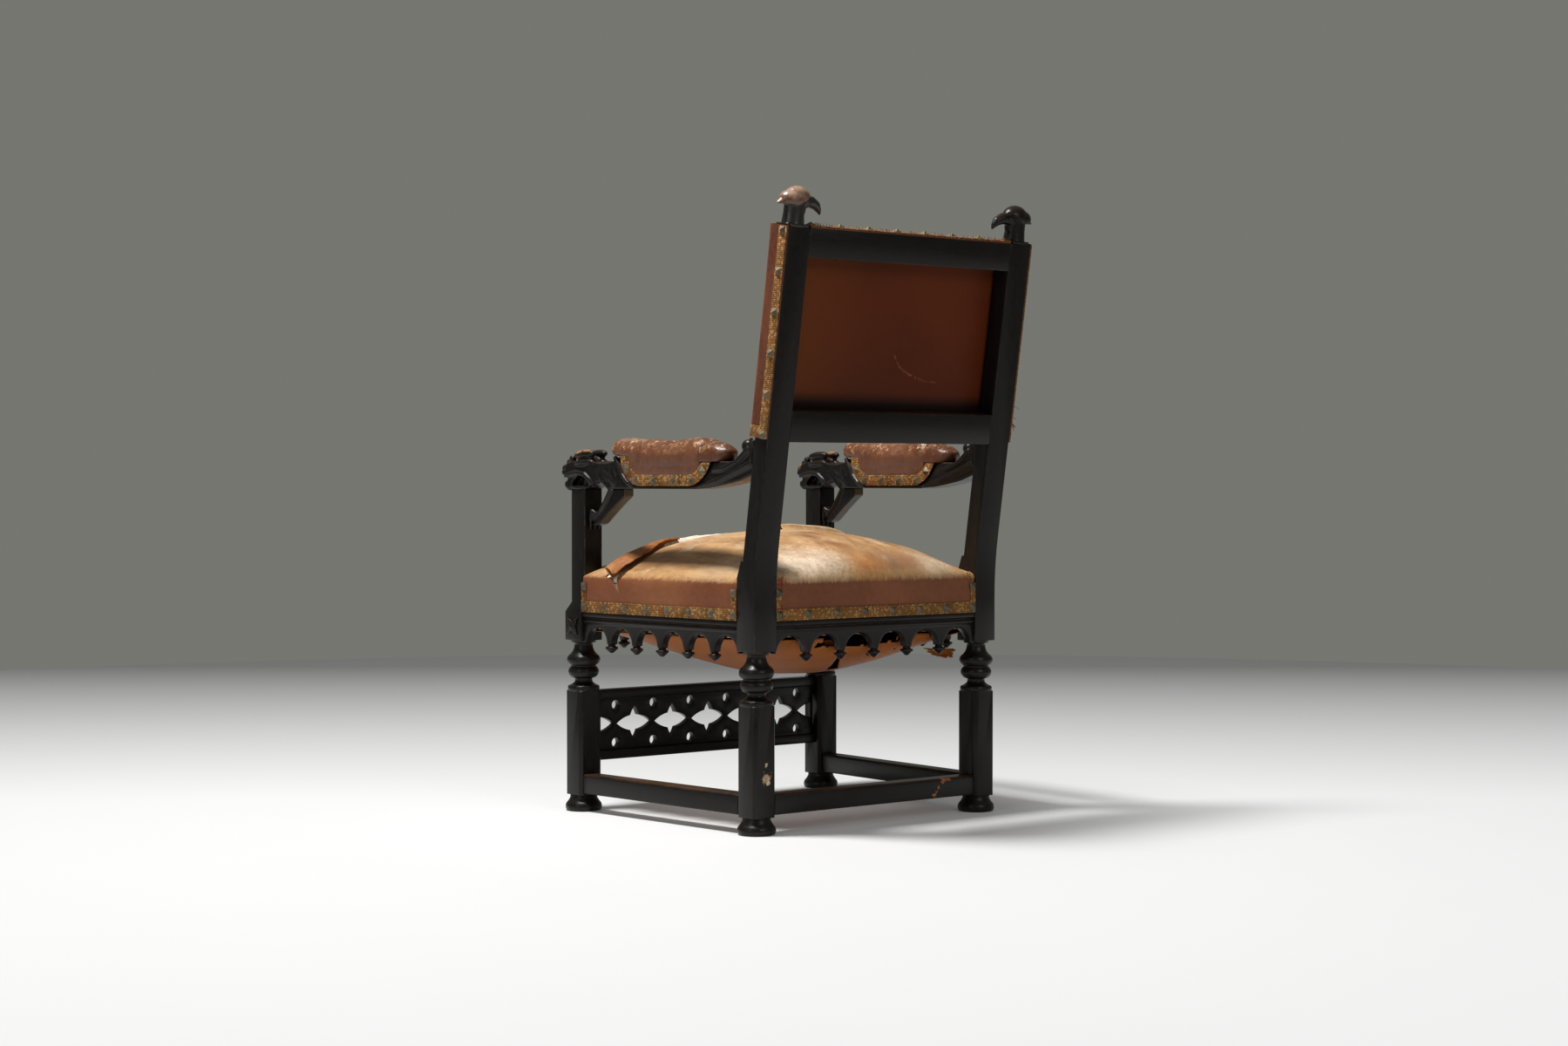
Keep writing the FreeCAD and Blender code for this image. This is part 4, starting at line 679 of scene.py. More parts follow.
# Seat leather. One thin hide stretched over the stuffing: upright round the border, tacked to the rails
# behind the braid, and domed on top. The top has split along the front, and its torn edge has curled back.
front_axis = (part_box("foot_front_left")[0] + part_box("foot_front_left")[1]) / 2
rear_axis = (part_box("foot_rear_left")[0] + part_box("foot_rear_left")[1]) / 2
HALF_LEG = 25 * MM
POST_GAP = 0.4 * MM          # between the hide and each post
CLOTH_STEPS = 20
HIDE = 2.0 * MM
PORES, CRACKS = 850, 160     # per metre, in the grain of the leather
seat_low, seat_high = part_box("seat_leather")
seat_middle = (seat_low.y + seat_high.y) / 2
seat_reach = (seat_high.y - seat_low.y) / 2
BORDER_FOOT = seat_low.z
BORDER_TOP = 0.444
BORDER_SET_IN = 3 * MM
DOME = 86 * MM
TEAR_END, TEAR_FOOT, TEAR_WIDE = -0.10, 0.4425, 26 * MM   # the split's right end, its lowest point, its width
LEATHER_RED = (0.215, 0.073, 0.031, 1)
LEATHER_DARK = (0.132, 0.041, 0.017, 1)
LEATHER_TAN = (0.53, 0.31, 0.14, 1)
TAN_DEEP = (0.25, 0.118, 0.046, 1)
LEATHER_PALE = (0.66, 0.48, 0.30, 1)
LEATHER_BRUISE = (0.34, 0.130, 0.042, 1)
WORN_GOLD = (0.62, 0.36, 0.14, 1)
FLESH_DEEP, FLESH_SIDE = (0.24, 0.085, 0.026, 1), (0.40, 0.150, 0.044, 1)
WADDING_DEEP, WADDING = (0.52, 0.42, 0.28, 1), (0.86, 0.80, 0.66, 1)


def seat_half(y, inset):
    """Half width of the seat at one depth."""
    share = (y - front_axis.y) / (rear_axis.y - front_axis.y)
    return front_axis.x + (rear_axis.x - front_axis.x) * share + HALF_LEG - inset


def fullness(share):
    return max(math.cos(math.pi / 2 * min(abs(share), 1.0)), 0.0) ** 0.5


def mound(x, y, at, height, spread):
    return height * math.exp(-((x - at[0]) ** 2 + (y - at[1]) ** 2) / spread ** 2)


def dome_height(x, y):
    """Height of the leather on top of the seat."""
    across = min(abs(x) / (seat_half(y, 0) - 5 * MM), 1.0)
    full = 0.12 + 0.88 * fullness((y - seat_middle) / seat_reach)
    ripple = noise.noise((x * 9, y * 9, 0.3)) * 2.4 * MM + noise.noise((x * 26, y * 16, 1.7)) * 0.9 * MM
    swell = mound(x, y, (-0.165, 0.135), 5 * MM, 0.045)
    hollow = mound(x, y, (-0.240, 0.195), 9 * MM, 0.035)
    edge = min((1 - across) / 0.12, 1.0)
    return BORDER_TOP + (DOME + ripple) * full * (1 - across ** 2.3) + (swell - hollow) * edge * full


def tear_line(x):
    """Depth of the split's rear edge, from the left border to right of the middle."""
    return -0.208 + 0.036 * max((x - 0.10) / 0.2, 0.0) ** 1.6 + 2 * MM * noise.noise((x * 30, 4.2, 0))


def clamped(value):
    return min(max(value, 0.0), 1.0)


def tear_gap(x):
    """Width of the split, closing to the right of the middle."""
    return TEAR_WIDE * clamped((x - TEAR_END) / 0.2)


def grid_sheet(name, columns, rows, shape):
    """A sheet of this many columns and rows, each point put where shape(across, along) says, from -1 to 1."""
    bpy.ops.object.select_all(action="DESELECT")
    bpy.ops.mesh.primitive_grid_add(x_subdivisions=columns, y_subdivisions=rows, size=2)
    sheet = bpy.context.object
    sheet.name = name
    for vertex in sheet.data.vertices:
        vertex.co = shape(vertex.co.x, vertex.co.y)
    return sheet


def pick_faces(piece, wanted, start="DESELECT"):
    """Leaves a piece in edit mode, with the faces selected whose middles answer to wanted(middle)."""
    only(piece)
    bpy.ops.object.mode_set(mode="EDIT")
    bpy.ops.mesh.select_mode(type="FACE")
    bpy.ops.mesh.select_all(action=start)
    bpy.ops.object.mode_set(mode="OBJECT")
    for face in piece.data.polygons:
        face.select = wanted(face.center)
    bpy.ops.object.mode_set(mode="EDIT")


def leave_edit():
    bpy.ops.mesh.select_mode(type="VERT")
    bpy.ops.object.mode_set(mode="OBJECT")


def take_out(piece, gone):
    """Cuts away the faces whose middles answer to gone(middle)."""
    pick_faces(piece, gone)
    bpy.ops.mesh.delete(type="FACE")
    leave_edit()


def split_at(piece, point, normal, near=lambda middle: True):
    """Cuts a sheet along a plane. If near is given, faces it isn't true of are only marked at their edges."""
    pick_faces(piece, near, start="SELECT")
    bpy.ops.mesh.bisect(plane_co=point, plane_no=normal)
    leave_edit()


def beside_post(point):
    """True where a post stands, with room for its edges."""
    room = HALF_LEG + POST_GAP
    front = abs(point.x) > front_axis.x - room and point.y < front_axis.y + room
    rear = abs(point.x) > rear_axis.x - room and point.y > rear_axis.y - room
    return front or rear


def draw_down(piece, levels):
    """Draws the open edge of a sheet down to each of these heights in turn."""
    only(piece)
    bpy.ops.object.mode_set(mode="EDIT")
    bpy.ops.mesh.select_mode(type="EDGE")
    bpy.ops.mesh.select_all(action="DESELECT")
    bpy.ops.mesh.select_non_manifold()
    for level in levels:
        bpy.ops.mesh.extrude_edges_move()
        bpy.ops.object.mode_set(mode="OBJECT")
        for vertex in piece.data.vertices:
            if vertex.select:
                vertex.co = level(vertex.co)
        bpy.ops.object.mode_set(mode="EDIT")
    leave_edit()


def stuffed(piece, pressure, most, stitched):
    """Swells a cover, held where stitched(point) is true, and never by more than most."""
    before = [vertex.co.copy() for vertex in piece.data.vertices]
    held = piece.vertex_groups.new(name="stitched")
    held.add([vertex.index for vertex in piece.data.vertices if stitched(vertex.co)], 1.0, "REPLACE")
    only(piece)
    bpy.ops.object.modifier_add(type="CLOTH")
    cloth = piece.modifiers[-1]
    cloth.settings.quality = 5
    cloth.settings.mass = 0.3
    cloth.settings.use_pressure = True
    cloth.settings.uniform_pressure_force = pressure
    cloth.settings.effector_weights.gravity = 0
    cloth.settings.vertex_group_mass = held.name
    cloth.point_cache.frame_end = CLOTH_STEPS
    for moment in range(1, CLOTH_STEPS + 1):
        scene.frame_set(moment)
    bpy.ops.object.modifier_apply(modifier=cloth.name)
    for vertex, start in zip(piece.data.vertices, before):
        moved = vertex.co - start
        if moved.length > most:
            vertex.co = start + moved * (most / moved.length)
    piece.vertex_groups.clear()
    scene.frame_set(1)


def skinned(piece):
    """Gives a sheet the hide's thickness on its inner side, and rounds it."""
    applied(piece, "SOLIDIFY", thickness=HIDE, offset=-1)
    applied(piece, "SUBSURF", levels=1, render_levels=1)
    bpy.ops.object.shade_smooth()


def seat_point(across, along):
    y = seat_middle + along * seat_reach
    x = across * (seat_half(y, HIDE) - BORDER_SET_IN)
    return Vector((x, y, dome_height(x, y)))


def border_level(height, out):
    """Puts a border point at this height, and this far out from the drawn-in top edge."""
    def level(point):
        if beside_post(point * 1.002) or abs(point.x) < 0.2 and abs(point.y - seat_middle) < 0.2:
            return Vector((point.x, point.y, height))
        x = point.x + math.copysign(out, point.x) if abs(point.x) > seat_half(point.y, 8 * MM) else point.x
        wave = 0.7 * MM * noise.noise((point.x * 20, point.y * 20, height * 30))
        return Vector((x, point.y, height + (wave if height > BORDER_FOOT + HIDE else 0)))
    return level


seat_cover = grid_sheet("seat_cover", 110, 96, seat_point)
for edge in (front_axis.x - HALF_LEG, rear_axis.x - HALF_LEG):
    for side in (-1, 1):
        split_at(seat_cover, (side * (edge - POST_GAP), 0, 0), (1, 0, 0))
split_at(seat_cover, (0, front_axis.y + HALF_LEG + POST_GAP, 0), (0, 1, 0))
split_at(seat_cover, (0, rear_axis.y - HALF_LEG - POST_GAP, 0), (0, 1, 0))
take_out(seat_cover, beside_post)
BORDER_STEPS = ((0.4415, BORDER_SET_IN / 2), (0.434, BORDER_SET_IN / 2), (0.418, 0), (0.398, 0),
                (BORDER_FOOT + 0.4 * MM, 0))   # heights, and how far out from the step before
draw_down(seat_cover, [border_level(height, out) for height, out in BORDER_STEPS])
stuffed(seat_cover, pressure=2.5, most=6 * MM,
        stitched=lambda point: point.z < BORDER_TOP - 6 * MM or beside_post(point * 1.01))
padding = bpy.data.objects.new("seat_wadding", seat_cover.data.copy())
bpy.context.collection.objects.link(padding)

RIP_FOOT = Vector((0.311, -0.150, 0.412))
RIP_FRONT = Vector((0, 0.056, 0.046))    # across the rip's front edge, towards the rip
RIP_REAR = Vector((0, 0.056, 0.020))     # across its rear edge, away from the rip
LIP_DEPTH = -0.087
SLIT_MIDDLE, SLIT_HALF, SLIT_WIDE = -0.140, 0.098, 15 * MM   # the opening in front of the lifted lip


def by_rip(point):
    """True round the rip in the left border."""
    return point.x > 0.28 and -0.23 < point.y < -0.12


def torn_away(point):
    rear_edge = tear_line(point.x)
    in_split = rear_edge - tear_gap(point.x) < point.y < rear_edge
    on_top = TEAR_END < point.x and in_split and point.z > TEAR_FOOT
    slit = SLIT_WIDE * math.sqrt(max(1 - ((point.x - SLIT_MIDDLE) / SLIT_HALF) ** 2, 0.0))
    on_top = on_top or LIP_DEPTH - slit < point.y < LIP_DEPTH
    away = point - RIP_FOOT
    return on_top or by_rip(point) and away.dot(RIP_FRONT) > 0 > away.dot(RIP_REAR) and away.z > 0


split_at(seat_cover, RIP_FOOT, RIP_FRONT, by_rip)
split_at(seat_cover, RIP_FOOT, RIP_REAR, by_rip)
take_out(seat_cover, torn_away)
skinned(seat_cover)


def cracked(place, scale):
    return add(place, "TexVoronoi", "Distance", {"Vector": place, "Scale": scale}, feature="DISTANCE_TO_EDGE")


def hide_finish(name, zones, gloss=(0.34, 0.6), coarse=0.35, shine=0.25):
    """Aged leather. zones(place, cloud, streak, fine) gives its colour and how far the grain is worn."""
    finish, place, shader = new_finish(name)
    cloud = cloudy(place, 7, 6)
    fine = cloudy(place, 95, 7, 0.7)
    streak = cloudy(drawn(place, (1.0, 0.28, 1.0)), 30, 6, 0.62)
    colour, worn = zones(place, cloud, streak, fine)
    pores = add(place, "TexVoronoi", "Distance", {"Vector": place, "Scale": PORES}, feature="F1")
    cracks = between(cracked(place, CRACKS), 0, 0.08)
    surface = plus(times(pores, 0.4), times(cracks, 0.3))
    surface = plus(surface, times(fine, coarse))
    fill(shader, {"Base Color": colour, "Normal": bumpy(surface, 0.35, 0.8 * MM), "Specular IOR Level": shine,
                  "Roughness": between(plus(times(fine, 0.6), worn), 0.2, 0.9, *gloss)})
    return finish


def patchy(cloud, fine, share, low, high, dark, pale):
    """Leather between two colours, by broad clouds and fine ones."""
    return mixed(between(both(cloud, fine, share), low, high), dark, pale)


# The first patch, pale cream by the left stile, is partly the hide's own colour and partly painted light,
# paler where the rear slope gets little lamp light.
SEAT_PATCHES = (((0.150, 0.205, 0.470), 0.115, (0.80, 0.65, 0.48, 1), 0.9),
                ((-0.150, 0.215, 0.465), 0.075, (0.74, 0.58, 0.41, 1), 0.8),
                ((0.275, 0.095, 0.455), 0.080, (0.66, 0.46, 0.28, 1), 0.70),
                ((0.070, -0.030, 0.525), 0.095, (0.70, 0.46, 0.24, 1), 0.65),
                ((0.010, 0.222, 0.462), 0.062, (0.48, 0.20, 0.068, 1), 0.85),
                ((-0.062, 0.205, 0.475), 0.060, (0.37, 0.215, 0.125, 1), 0.80))
BORDER_GLOW = ((0.310, -0.050, 0.420), 0.100, (0.30, 0.115, 0.046, 1), 0.60)


def with_patches(place, colour, streak, patches):
    """Lays large soft patches of other colours over a colour, streaked like the hide."""
    for at, radius, tone, share in patches:
        patch = mixed(between(streak, 0.36, 0.60), darker(tone, 0.72), tone)
        shown = times(spot(place, at, radius, 0.2 * radius, 0.75), share)
        colour = mixed(shown, colour, patch)
    return colour


def seat_zones(place, cloud, streak, fine):
    """Red round the border, tan on top, and worn to gold along the rim between them."""
    height = part(place, 2)
    runs = cloudy(drawn(place, (1, 1, 0.22)), 170, 7, 0.75)
    uneven = add(height, "Math", 0, {0: height, 1: between(runs, 0.3, 0.7, -3.4 * MM, 3.4 * MM)})
    red = patchy(cloud, fine, 0.6, 0.35, 0.65, LEATHER_DARK, LEATHER_RED)
    red = with_patches(place, red, streak, (BORDER_GLOW,))
    tan = patchy(streak, cloud, 0.65, 0.38, 0.60, TAN_DEEP, LEATHER_TAN)
    tan = mixed(between(cloudy(place, 16, 7, 0.7), 0.52, 0.70), tan, LEATHER_PALE)
    tan = with_patches(place, tan, streak, SEAT_PATCHES)
    fibres = cloudy(drawn(place, (1.0, 0.16, 1.0)), 130, 8, 0.75)
    tan = mixed(between(fibres, 0.50, 0.34, 0.0, 0.55), tan, TAN_DEEP)
    bruise = times(between(cloudy(place, 9, 6, 0.65), 0.53, 0.66), between(fibres, 0.3, 0.6))
    tan = mixed(times(bruise, 0.7), tan, LEATHER_BRUISE)
    on_top = between(uneven, 0.440, 0.4535)
    rim = times(between(uneven, 0.441, 0.449), between(uneven, 0.468, 0.452))
    gold = times(rim, between(fine, 0.36, 0.66, 0.1, 0.7))
    return mixed(gold, mixed(on_top, red, tan), WORN_GOLD), times(on_top, 0.35)


fitted(seat_cover, hide_finish("seat leather", seat_zones), "seat_leather", "seat_leather")

BARE_FROM, BARE_TO, BARE_FADE = -0.035, 0.19, 0.03   # where the wadding swells into the split, across
PUFF, PUFF_HALF = 16 * MM, 15 * MM
in_edit(padding, lambda: bpy.ops.transform.shrink_fatten(value=-4 * MM))
take_out(padding, lambda point: not (-0.26 < point.x and -0.29 < point.y < -0.07))
for vertex in padding.data.vertices:
    x, y, z = vertex.co
    if z > BORDER_TOP + 6 * MM:
        window = clamped((x - BARE_FROM) / BARE_FADE) * clamped((BARE_TO - x) / BARE_FADE)
        off_middle = y - tear_line(x) + tear_gap(x) / 2
        rise = 1 - (off_middle / PUFF_HALF) ** 2 + 0.12 * noise.noise(vertex.co * 45)
        vertex.co.z += PUFF * window * max(rise, 0.0)
skinned(padding)
wadding, place, shader = new_finish("wadding")
fibres = cloudy(place, 220, 8, 0.75)
fill(shader, {"Base Color": mixed(between(fibres, 0.32, 0.52), WADDING_DEEP, WADDING), "Roughness": 0.95,
              "Normal": bumpy(fibres, 0.8, 2 * MM)})
fitted(padding, wadding, "stuffing", "seat_stuffing")

FLAP_FOLD = ((312, -190, 462), (280, -182, 482), (246, -187, 493), (212, -195, 502), (184, -200, 508),
             (156, -204, 511), (128, -207, 512))
FLAP_FREE = ((314, -164, 449), (303, -149, 463), (266, -152, 479), (230, -163, 490), (198, -180, 502),
             (162, -196, 510), (128, -204, 511))
LIP_FOLD = ((-36, -100, 538), (-60, -99, 539), (-91, -100, 537), (-136, -101, 534), (-176, -103, 528),
            (-216, -106, 514), (-240, -106, 498), (-254, -100, 482), (-264, -94, 466))
LIP_FREE = ((-36, -116, 530), (-60, -117, 529), (-91, -120, 528), (-136, -122, 524), (-176, -122, 517),
            (-216, -120, 505), (-240, -116, 492), (-254, -106, 479), (-264, -96, 465))


def on_curve(points, share):
    """The point this share of the way along a smooth curve through points."""
    place = share * (len(points) - 1)
    k = min(int(place), len(points) - 2)
    t = place - k
    ends = [Vector(points[min(max(k + step, 0), len(points) - 1)]) for step in (-1, 0, 1, 2)]
    before, first, second, after = ends
    return first + 0.5 * ((second - before) * t + (2 * before - 5 * first + 4 * second - after) * t * t
                          + (3 * first - before - 3 * second + after) * t ** 3)


def thickened(sheet, thick):
    """Gives a sheet its thickness, half to each side."""
    applied(sheet, "SOLIDIFY", thickness=thick, offset=0)
    in_edit(sheet, face_out)
    bpy.ops.object.shade_smooth()
    return sheet


def torn_strip(name, fold, free, depth, lean):
    """A torn edge that rises from the seat at a depth, turns over at its fold and ends at its free edge."""
    def shape(across, rise):
        share = (across + 1) / 2
        top = on_curve(fold, share) * MM
        edge = on_curve(free, share) * MM
        root_x = min(top.x, seat_half(top.y, 4 * MM))
        root = Vector((root_x, depth(root_x), dome_height(root_x, depth(root_x)) - 1.5 * MM))
        ragged = 0.16 * noise.noise((share * 17, 0.6, rise * 2)) + 0.07 * noise.noise((share * 60, 2.1, 0))
        edge = top + (edge - top) * (1 + ragged)
        hump = root.lerp(top, 0.55) + Vector((0, lean * MM, 0))
        over = top.lerp(edge, 0.5) + Vector((0, 0, 2.5 * MM))
        return on_curve((root, hump, top, over, edge), (rise + 1) / 2)
    return thickened(grid_sheet(name, 90, 24, shape), 1.8 * MM)


def flesh_zones(place, cloud, streak, fine):
    flesh = mixed(between(fine, 0.35, 0.65), FLESH_DEEP, FLESH_SIDE)
    flesh = mixed(between(cloud, 0.5, 0.65, 0, 0.4), flesh, WORN_GOLD)
    return flesh, between(fine, 0, 1, 0.4, 0.4)


def lip_zones(place, cloud, streak, fine):
    tan = mixed(between(streak, 0.38, 0.60), LEATHER_TAN, LEATHER_PALE)
    worn_end = spot(place, (-0.036, -0.10, 0.53), 18 * MM, 4 * MM, 0.5)
    return mixed(worn_end, tan, WORN_GOLD), fine


torn_edge = torn_strip("seat_torn_edge", FLAP_FOLD, FLAP_FREE, tear_line, -5)
fitted(torn_edge, hide_finish("leather flesh side", flesh_zones, coarse=0.6), "seat_leather")
lifted_lip = torn_strip("seat_lifted_lip", LIP_FOLD, LIP_FREE, lambda x: LIP_DEPTH, -1)
fitted(lifted_lip, hide_finish("lifted leather", lip_zones), "seat_leather")

# Bottom cover. A thin tan hide tacked under the rails. It has sagged, torn away along its rear edge, split
# down its middle and dropped one corner.
cover_low, cover_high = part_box("seat_bottom_cover")
COVER_RIM = cover_high.z - 2 * MM
COVER_SAG = 80 * MM
COVER_DEEP, COVER_TAN = (0.215, 0.060, 0.011, 1), (0.40, 0.130, 0.026, 1)
COVER_STAIN = (0.11, 0.034, 0.007, 1)
REAR_GAP, DROPPED_CORNER = (-0.090, 0.125), (-0.240, -0.190)   # from and to, across
COVER_NICKS = ((-0.018, 0.030), (-0.026, 0.036), (-0.079, 0.022), (-0.10, 0.020))   # across, from the rear
cover_reach = (cover_high.y - cover_low.y) / 2
cover_middle = (cover_high.y + cover_low.y) / 2


def cover_point(across, along):
    y = cover_middle + along * cover_reach
    half = seat_half(y, 24.6 * MM)
    x = across * half
    inner = min(abs(x) / (half - 20 * MM), 1.0)
    pull = 2.5 * MM * noise.noise((x * 8, y * 8, 5.1)) + 1.2 * MM * noise.noise((x * 22, y * 22, 8.4))
    deep = fullness(along) * (1 - inner * inner)
    return Vector((x, y, COVER_RIM - (COVER_SAG + pull) * deep))


def cover_hole(point):
    ragged = 3 * MM * noise.noise((point.x * 32, point.y * 32, 3.3))
    ragged += 2 * MM * noise.noise((point.x * 90, 1, 7))
    from_rear = cover_high.y - point.y
    gap = 11 * MM - 7 * MM * (0.12 - point.x) / 0.20
    rear_gap = REAR_GAP[0] < point.x < REAR_GAP[1] and 1 * MM < from_rear + ragged < gap
    down = (from_rear - 30 * MM) / (67 * MM)
    middle = 0.050 - 0.045 * down
    split = abs(point.x - middle) < (3 + 9 * down) * MM + ragged / 3 and -0.15 < down < 1.4
    corner = DROPPED_CORNER[0] < point.x < DROPPED_CORNER[1] and from_rear + ragged < 14 * MM
    nicks = any(abs(point.x - x) < 4 * MM and abs(from_rear - back + 0.6 * (point.x - x)) < 2.2 * MM
                for x, back in COVER_NICKS)
    return rear_gap or split or corner or nicks or beside_post(point)


bottom_cover = grid_sheet("bottom_cover", 210, 180, cover_point)
take_out(bottom_cover, cover_hole)
applied(bottom_cover, "SOLIDIFY", thickness=1.6 * MM, offset=0)
bpy.ops.object.shade_smooth()


def cover_zones(place, cloud, streak, fine):
    colour = patchy(cloud, fine, 0.6, 0.35, 0.65, COVER_DEEP, COVER_TAN)
    stains = between(cloudy(place, 30, 6, 0.7), 0.60, 0.72, 0, 0.6)
    return mixed(stains, colour, COVER_STAIN), between(fine, 0, 1, 0.2, 0.4)


cover_leather = hide_finish("bottom cover leather", cover_zones, shine=0.12)
fitted(bottom_cover, cover_leather, "cover_leather", "seat_bottom_cover")


def scrap(name, corners, curl):
    """A torn scrap between four corners, in millimetres, that curls out of its plane."""
    top_left, top_right, foot_left, foot_right = [Vector(corner) * MM for corner in corners]

    def shape(across, down):
        along_top = (across + 1) / 2 + 0.10 * noise.noise((down * 2.5, 0.4, curl))
        along_side = (1 - down) / 2 * (1 + 0.22 * noise.noise((across * 3, 1.5, curl)))
        point = top_left.lerp(top_right, along_top).lerp(foot_left.lerp(foot_right, along_top), along_side)
        bend = curl * MM * (along_side ** 2 + 0.5 * noise.noise((across * 1.7, down * 1.7, 3.0)))
        return point + Vector((0, bend, 0.3 * bend))
    return thickened(grid_sheet(name, 24, 18, shape), 1.4 * MM)


hanging_corners = ((-166, 166, 309), (-238, 172, 306), (-182, 176, 291), (-216, 182, 287))
hanging_scrap = scrap("cover_hanging_scrap", hanging_corners, 9)
fitted(hanging_scrap, cover_leather, "cover_leather")
inner_corners = ((92, 176, 334), (50, 178, 336), (84, 172, 314), (58, 178, 318))
inner_scrap = scrap("cover_inner_scrap", inner_corners, 7)
fitted(inner_scrap, cover_leather, "cover_leather")

# Seat braid and nails. A woven gimp glued round the foot of the border and up beside each post, and held by
# square pyramid-headed brass nails.
BRAID_GOLD = (0.29, 0.137, 0.040, 1)
BRAID_DARK = (0.072, 0.028, 0.009, 1)
BRAID_CREAM = (0.42, 0.26, 0.100, 1)
BRAID_RED = (0.26, 0.045, 0.025, 1)
BRAID_STITCH = 3.4 * MM
BRASS_BRIGHT, BRASS_DULL = (0.185, 0.150, 0.094, 1), (0.080, 0.060, 0.035, 1)


def braid_finish(name):
    finish, place, shader = new_finish(name)
    stitches = {"Vector": place, "Scale": 1 / BRAID_STITCH, "Randomness": 0.16}
    loops = add(place, "TexVoronoi", "Distance", stitches)
    shade = add(place, "TexVoronoi", "Color", stitches)
    patch = cloudy(place, 24, 5)
    colour = mixed(between(loops, 0.25, 0.75), BRAID_GOLD, BRAID_DARK)
    colour = mixed(times(between(part(shade, 0), 0.72, 0.78), 0.8), colour, BRAID_CREAM)
    red = times(between(part(shade, 1), 0.80, 0.86), between(patch, 0.5, 0.62))
    colour = mixed(red, colour, BRAID_RED)
    colour = mixed(between(patch, 0.38, 0.60, 0.40, 0.0), colour, BRAID_DARK)
    raised = add(place, "Bump", 0, {"Height": loops, "Strength": 1.0, "Distance": 1.6 * MM}, invert=True)
    fill(shader, {"Base Color": colour, "Normal": raised, "Roughness": 0.85, "Specular IOR Level": 0.1})
    return finish


def brass_finish(name):
    finish, place, shader = new_finish(name)
    tarnish = cloudy(place, 60, 6, 0.65)
    fill(shader, {"Base Color": mixed(between(tarnish, 0.35, 0.65), BRASS_BRIGHT, BRASS_DULL),
                  "Roughness": between(tarnish, 0.3, 0.7, 0.38, 0.60), "Metallic": 0.7,
                  "Normal": bumpy(tarnish, 0.3, 0.6 * MM)})
    return finish


def trimmings(label):
    """Puts the braid of this name in its place, and its nails with their facets left sharp."""
    dressed(label.replace("*", "braid"), braid, "braid", edge=0.8 * MM)
    nails = label.replace("*", "nails")
    heads = cad_copy(nails, nails + "_piece")
    bpy.ops.object.shade_flat()
    fitted(heads, brass, "nail_brass", nails)


braid = braid_finish("braid")
brass = brass_finish("nail brass")
trimmings("seat_*")

# Back upholstery. A stuffed front panel, its leather carried round the stiles and over the top rail and
# nailed through braid on their rear edges. A thin plain panel closes the back between the stiles.
BACK_FOOT, BACK_HEAD = 0.697, 1.0695
BACK_HALF = 0.2945
STILE_FRONT, STILE_REAR = 0.184, 0.225
BACK_EDGE_Y = 0.1775
BACK_CROWN = 26 * MM
PANEL_GLOW = (0.108, 0.022, 0.0060, 1)
PANEL_DEEP = (0.066, 0.012, 0.0035, 1)
PANEL_WARM = (0.130, 0.034, 0.0075, 1)
CHEEK_RED = (0.150, 0.049, 0.025, 1)
CHEEK_DARK = (0.080, 0.024, 0.012, 1)
PANEL_SHADOW = (0.010, 0.003, 0.002, 1)
PANEL_CREASE = (0.30, 0.11, 0.045, 1)
BACK_SCUFF, CHEEK_SCUFF = (0.36, 0.17, 0.07, 1), (0.34, 0.17, 0.08, 1)
PANEL_FOOT = 0.759           # where it meets the lower rail
PANEL_MIDDLE, PANEL_REACH, PANEL_HALF, PANEL_DEPTH = 0.8835, 0.183, 0.2414, 0.1868
LID_HALF = 0.2412
CUSHION_SHARP, CHEEK_SHARP = math.radians(50), math.radians(40)
CREASE = ((-16, 248, 850), (-32, 245, 829), (-62, 242, 815), (-96, 240, 806), (-122, 240, 803))
CREASE_DOTS = 25


def back_point(across, along):
    z = (BACK_FOOT + BACK_HEAD) / 2 + along * (BACK_HEAD - BACK_FOOT) / 2
    full = fullness(along) * (1 - across * across)
    return Vector((across * BACK_HALF, BACK_EDGE_Y - 2 * MM - BACK_CROWN * full, z))


def to_stile(depth):
    return lambda point: Vector((point.x, depth, point.z))


back_cushion = grid_sheet("back_cushion", 72, 48, back_point)
draw_down(back_cushion, [to_stile(BACK_EDGE_Y + 1 * MM), to_stile(STILE_FRONT - 0.4 * MM)])
stuffed(back_cushion, pressure=-2.5, most=5 * MM, stitched=lambda point: point.y > BACK_EDGE_Y - 1 * MM)
in_edit(back_cushion, lambda: bpy.ops.mesh.fill_holes(sides=0), face_out)
applied(back_cushion, "BEVEL", width=3 * MM, segments=3, limit_method="ANGLE", angle_limit=CUSHION_SHARP)
bpy.ops.object.shade_smooth_by_angle(angle=CUSHION_SHARP)
leant(back_cushion)


def red_zones(place, cloud, streak, fine):
    colour = patchy(cloud, fine, 0.6, 0.38, 0.62, LEATHER_DARK, LEATHER_RED)
    scuffs = between(cloudy(place, 48, 7, 0.75), 0.60, 0.70, 0, 0.6)
    return mixed(scuffs, colour, BACK_SCUFF), between(fine, 0, 1, 0.0, 0.2)


red_hide = hide_finish("red leather", red_zones)
fitted(back_cushion, red_hide, "red_leather", "back_leather", "back_stuffing")


def cheek_point(across, along):
    z = (BACK_FOOT + BACK_HEAD) / 2 + along * (BACK_HEAD - BACK_FOOT - 1 * MM) / 2
    y = (BACK_EDGE_Y + 3 * MM + STILE_REAR) / 2 + across * (STILE_REAR - BACK_EDGE_Y - 3 * MM) / 2
    ripple = 1.0 * MM * noise.noise((0.2, y * 20, z * 16)) * max(0.0, -across)
    return Vector((BACK_HALF - 0.2 * MM + ripple, y, z))


def lid_point(across, along):
    x = across * LID_HALF
    y = (STILE_FRONT + STILE_REAR) / 2 + along * (STILE_REAR - STILE_FRONT) / 2
    return Vector((x, y, BACK_HEAD - 0.3 * MM))


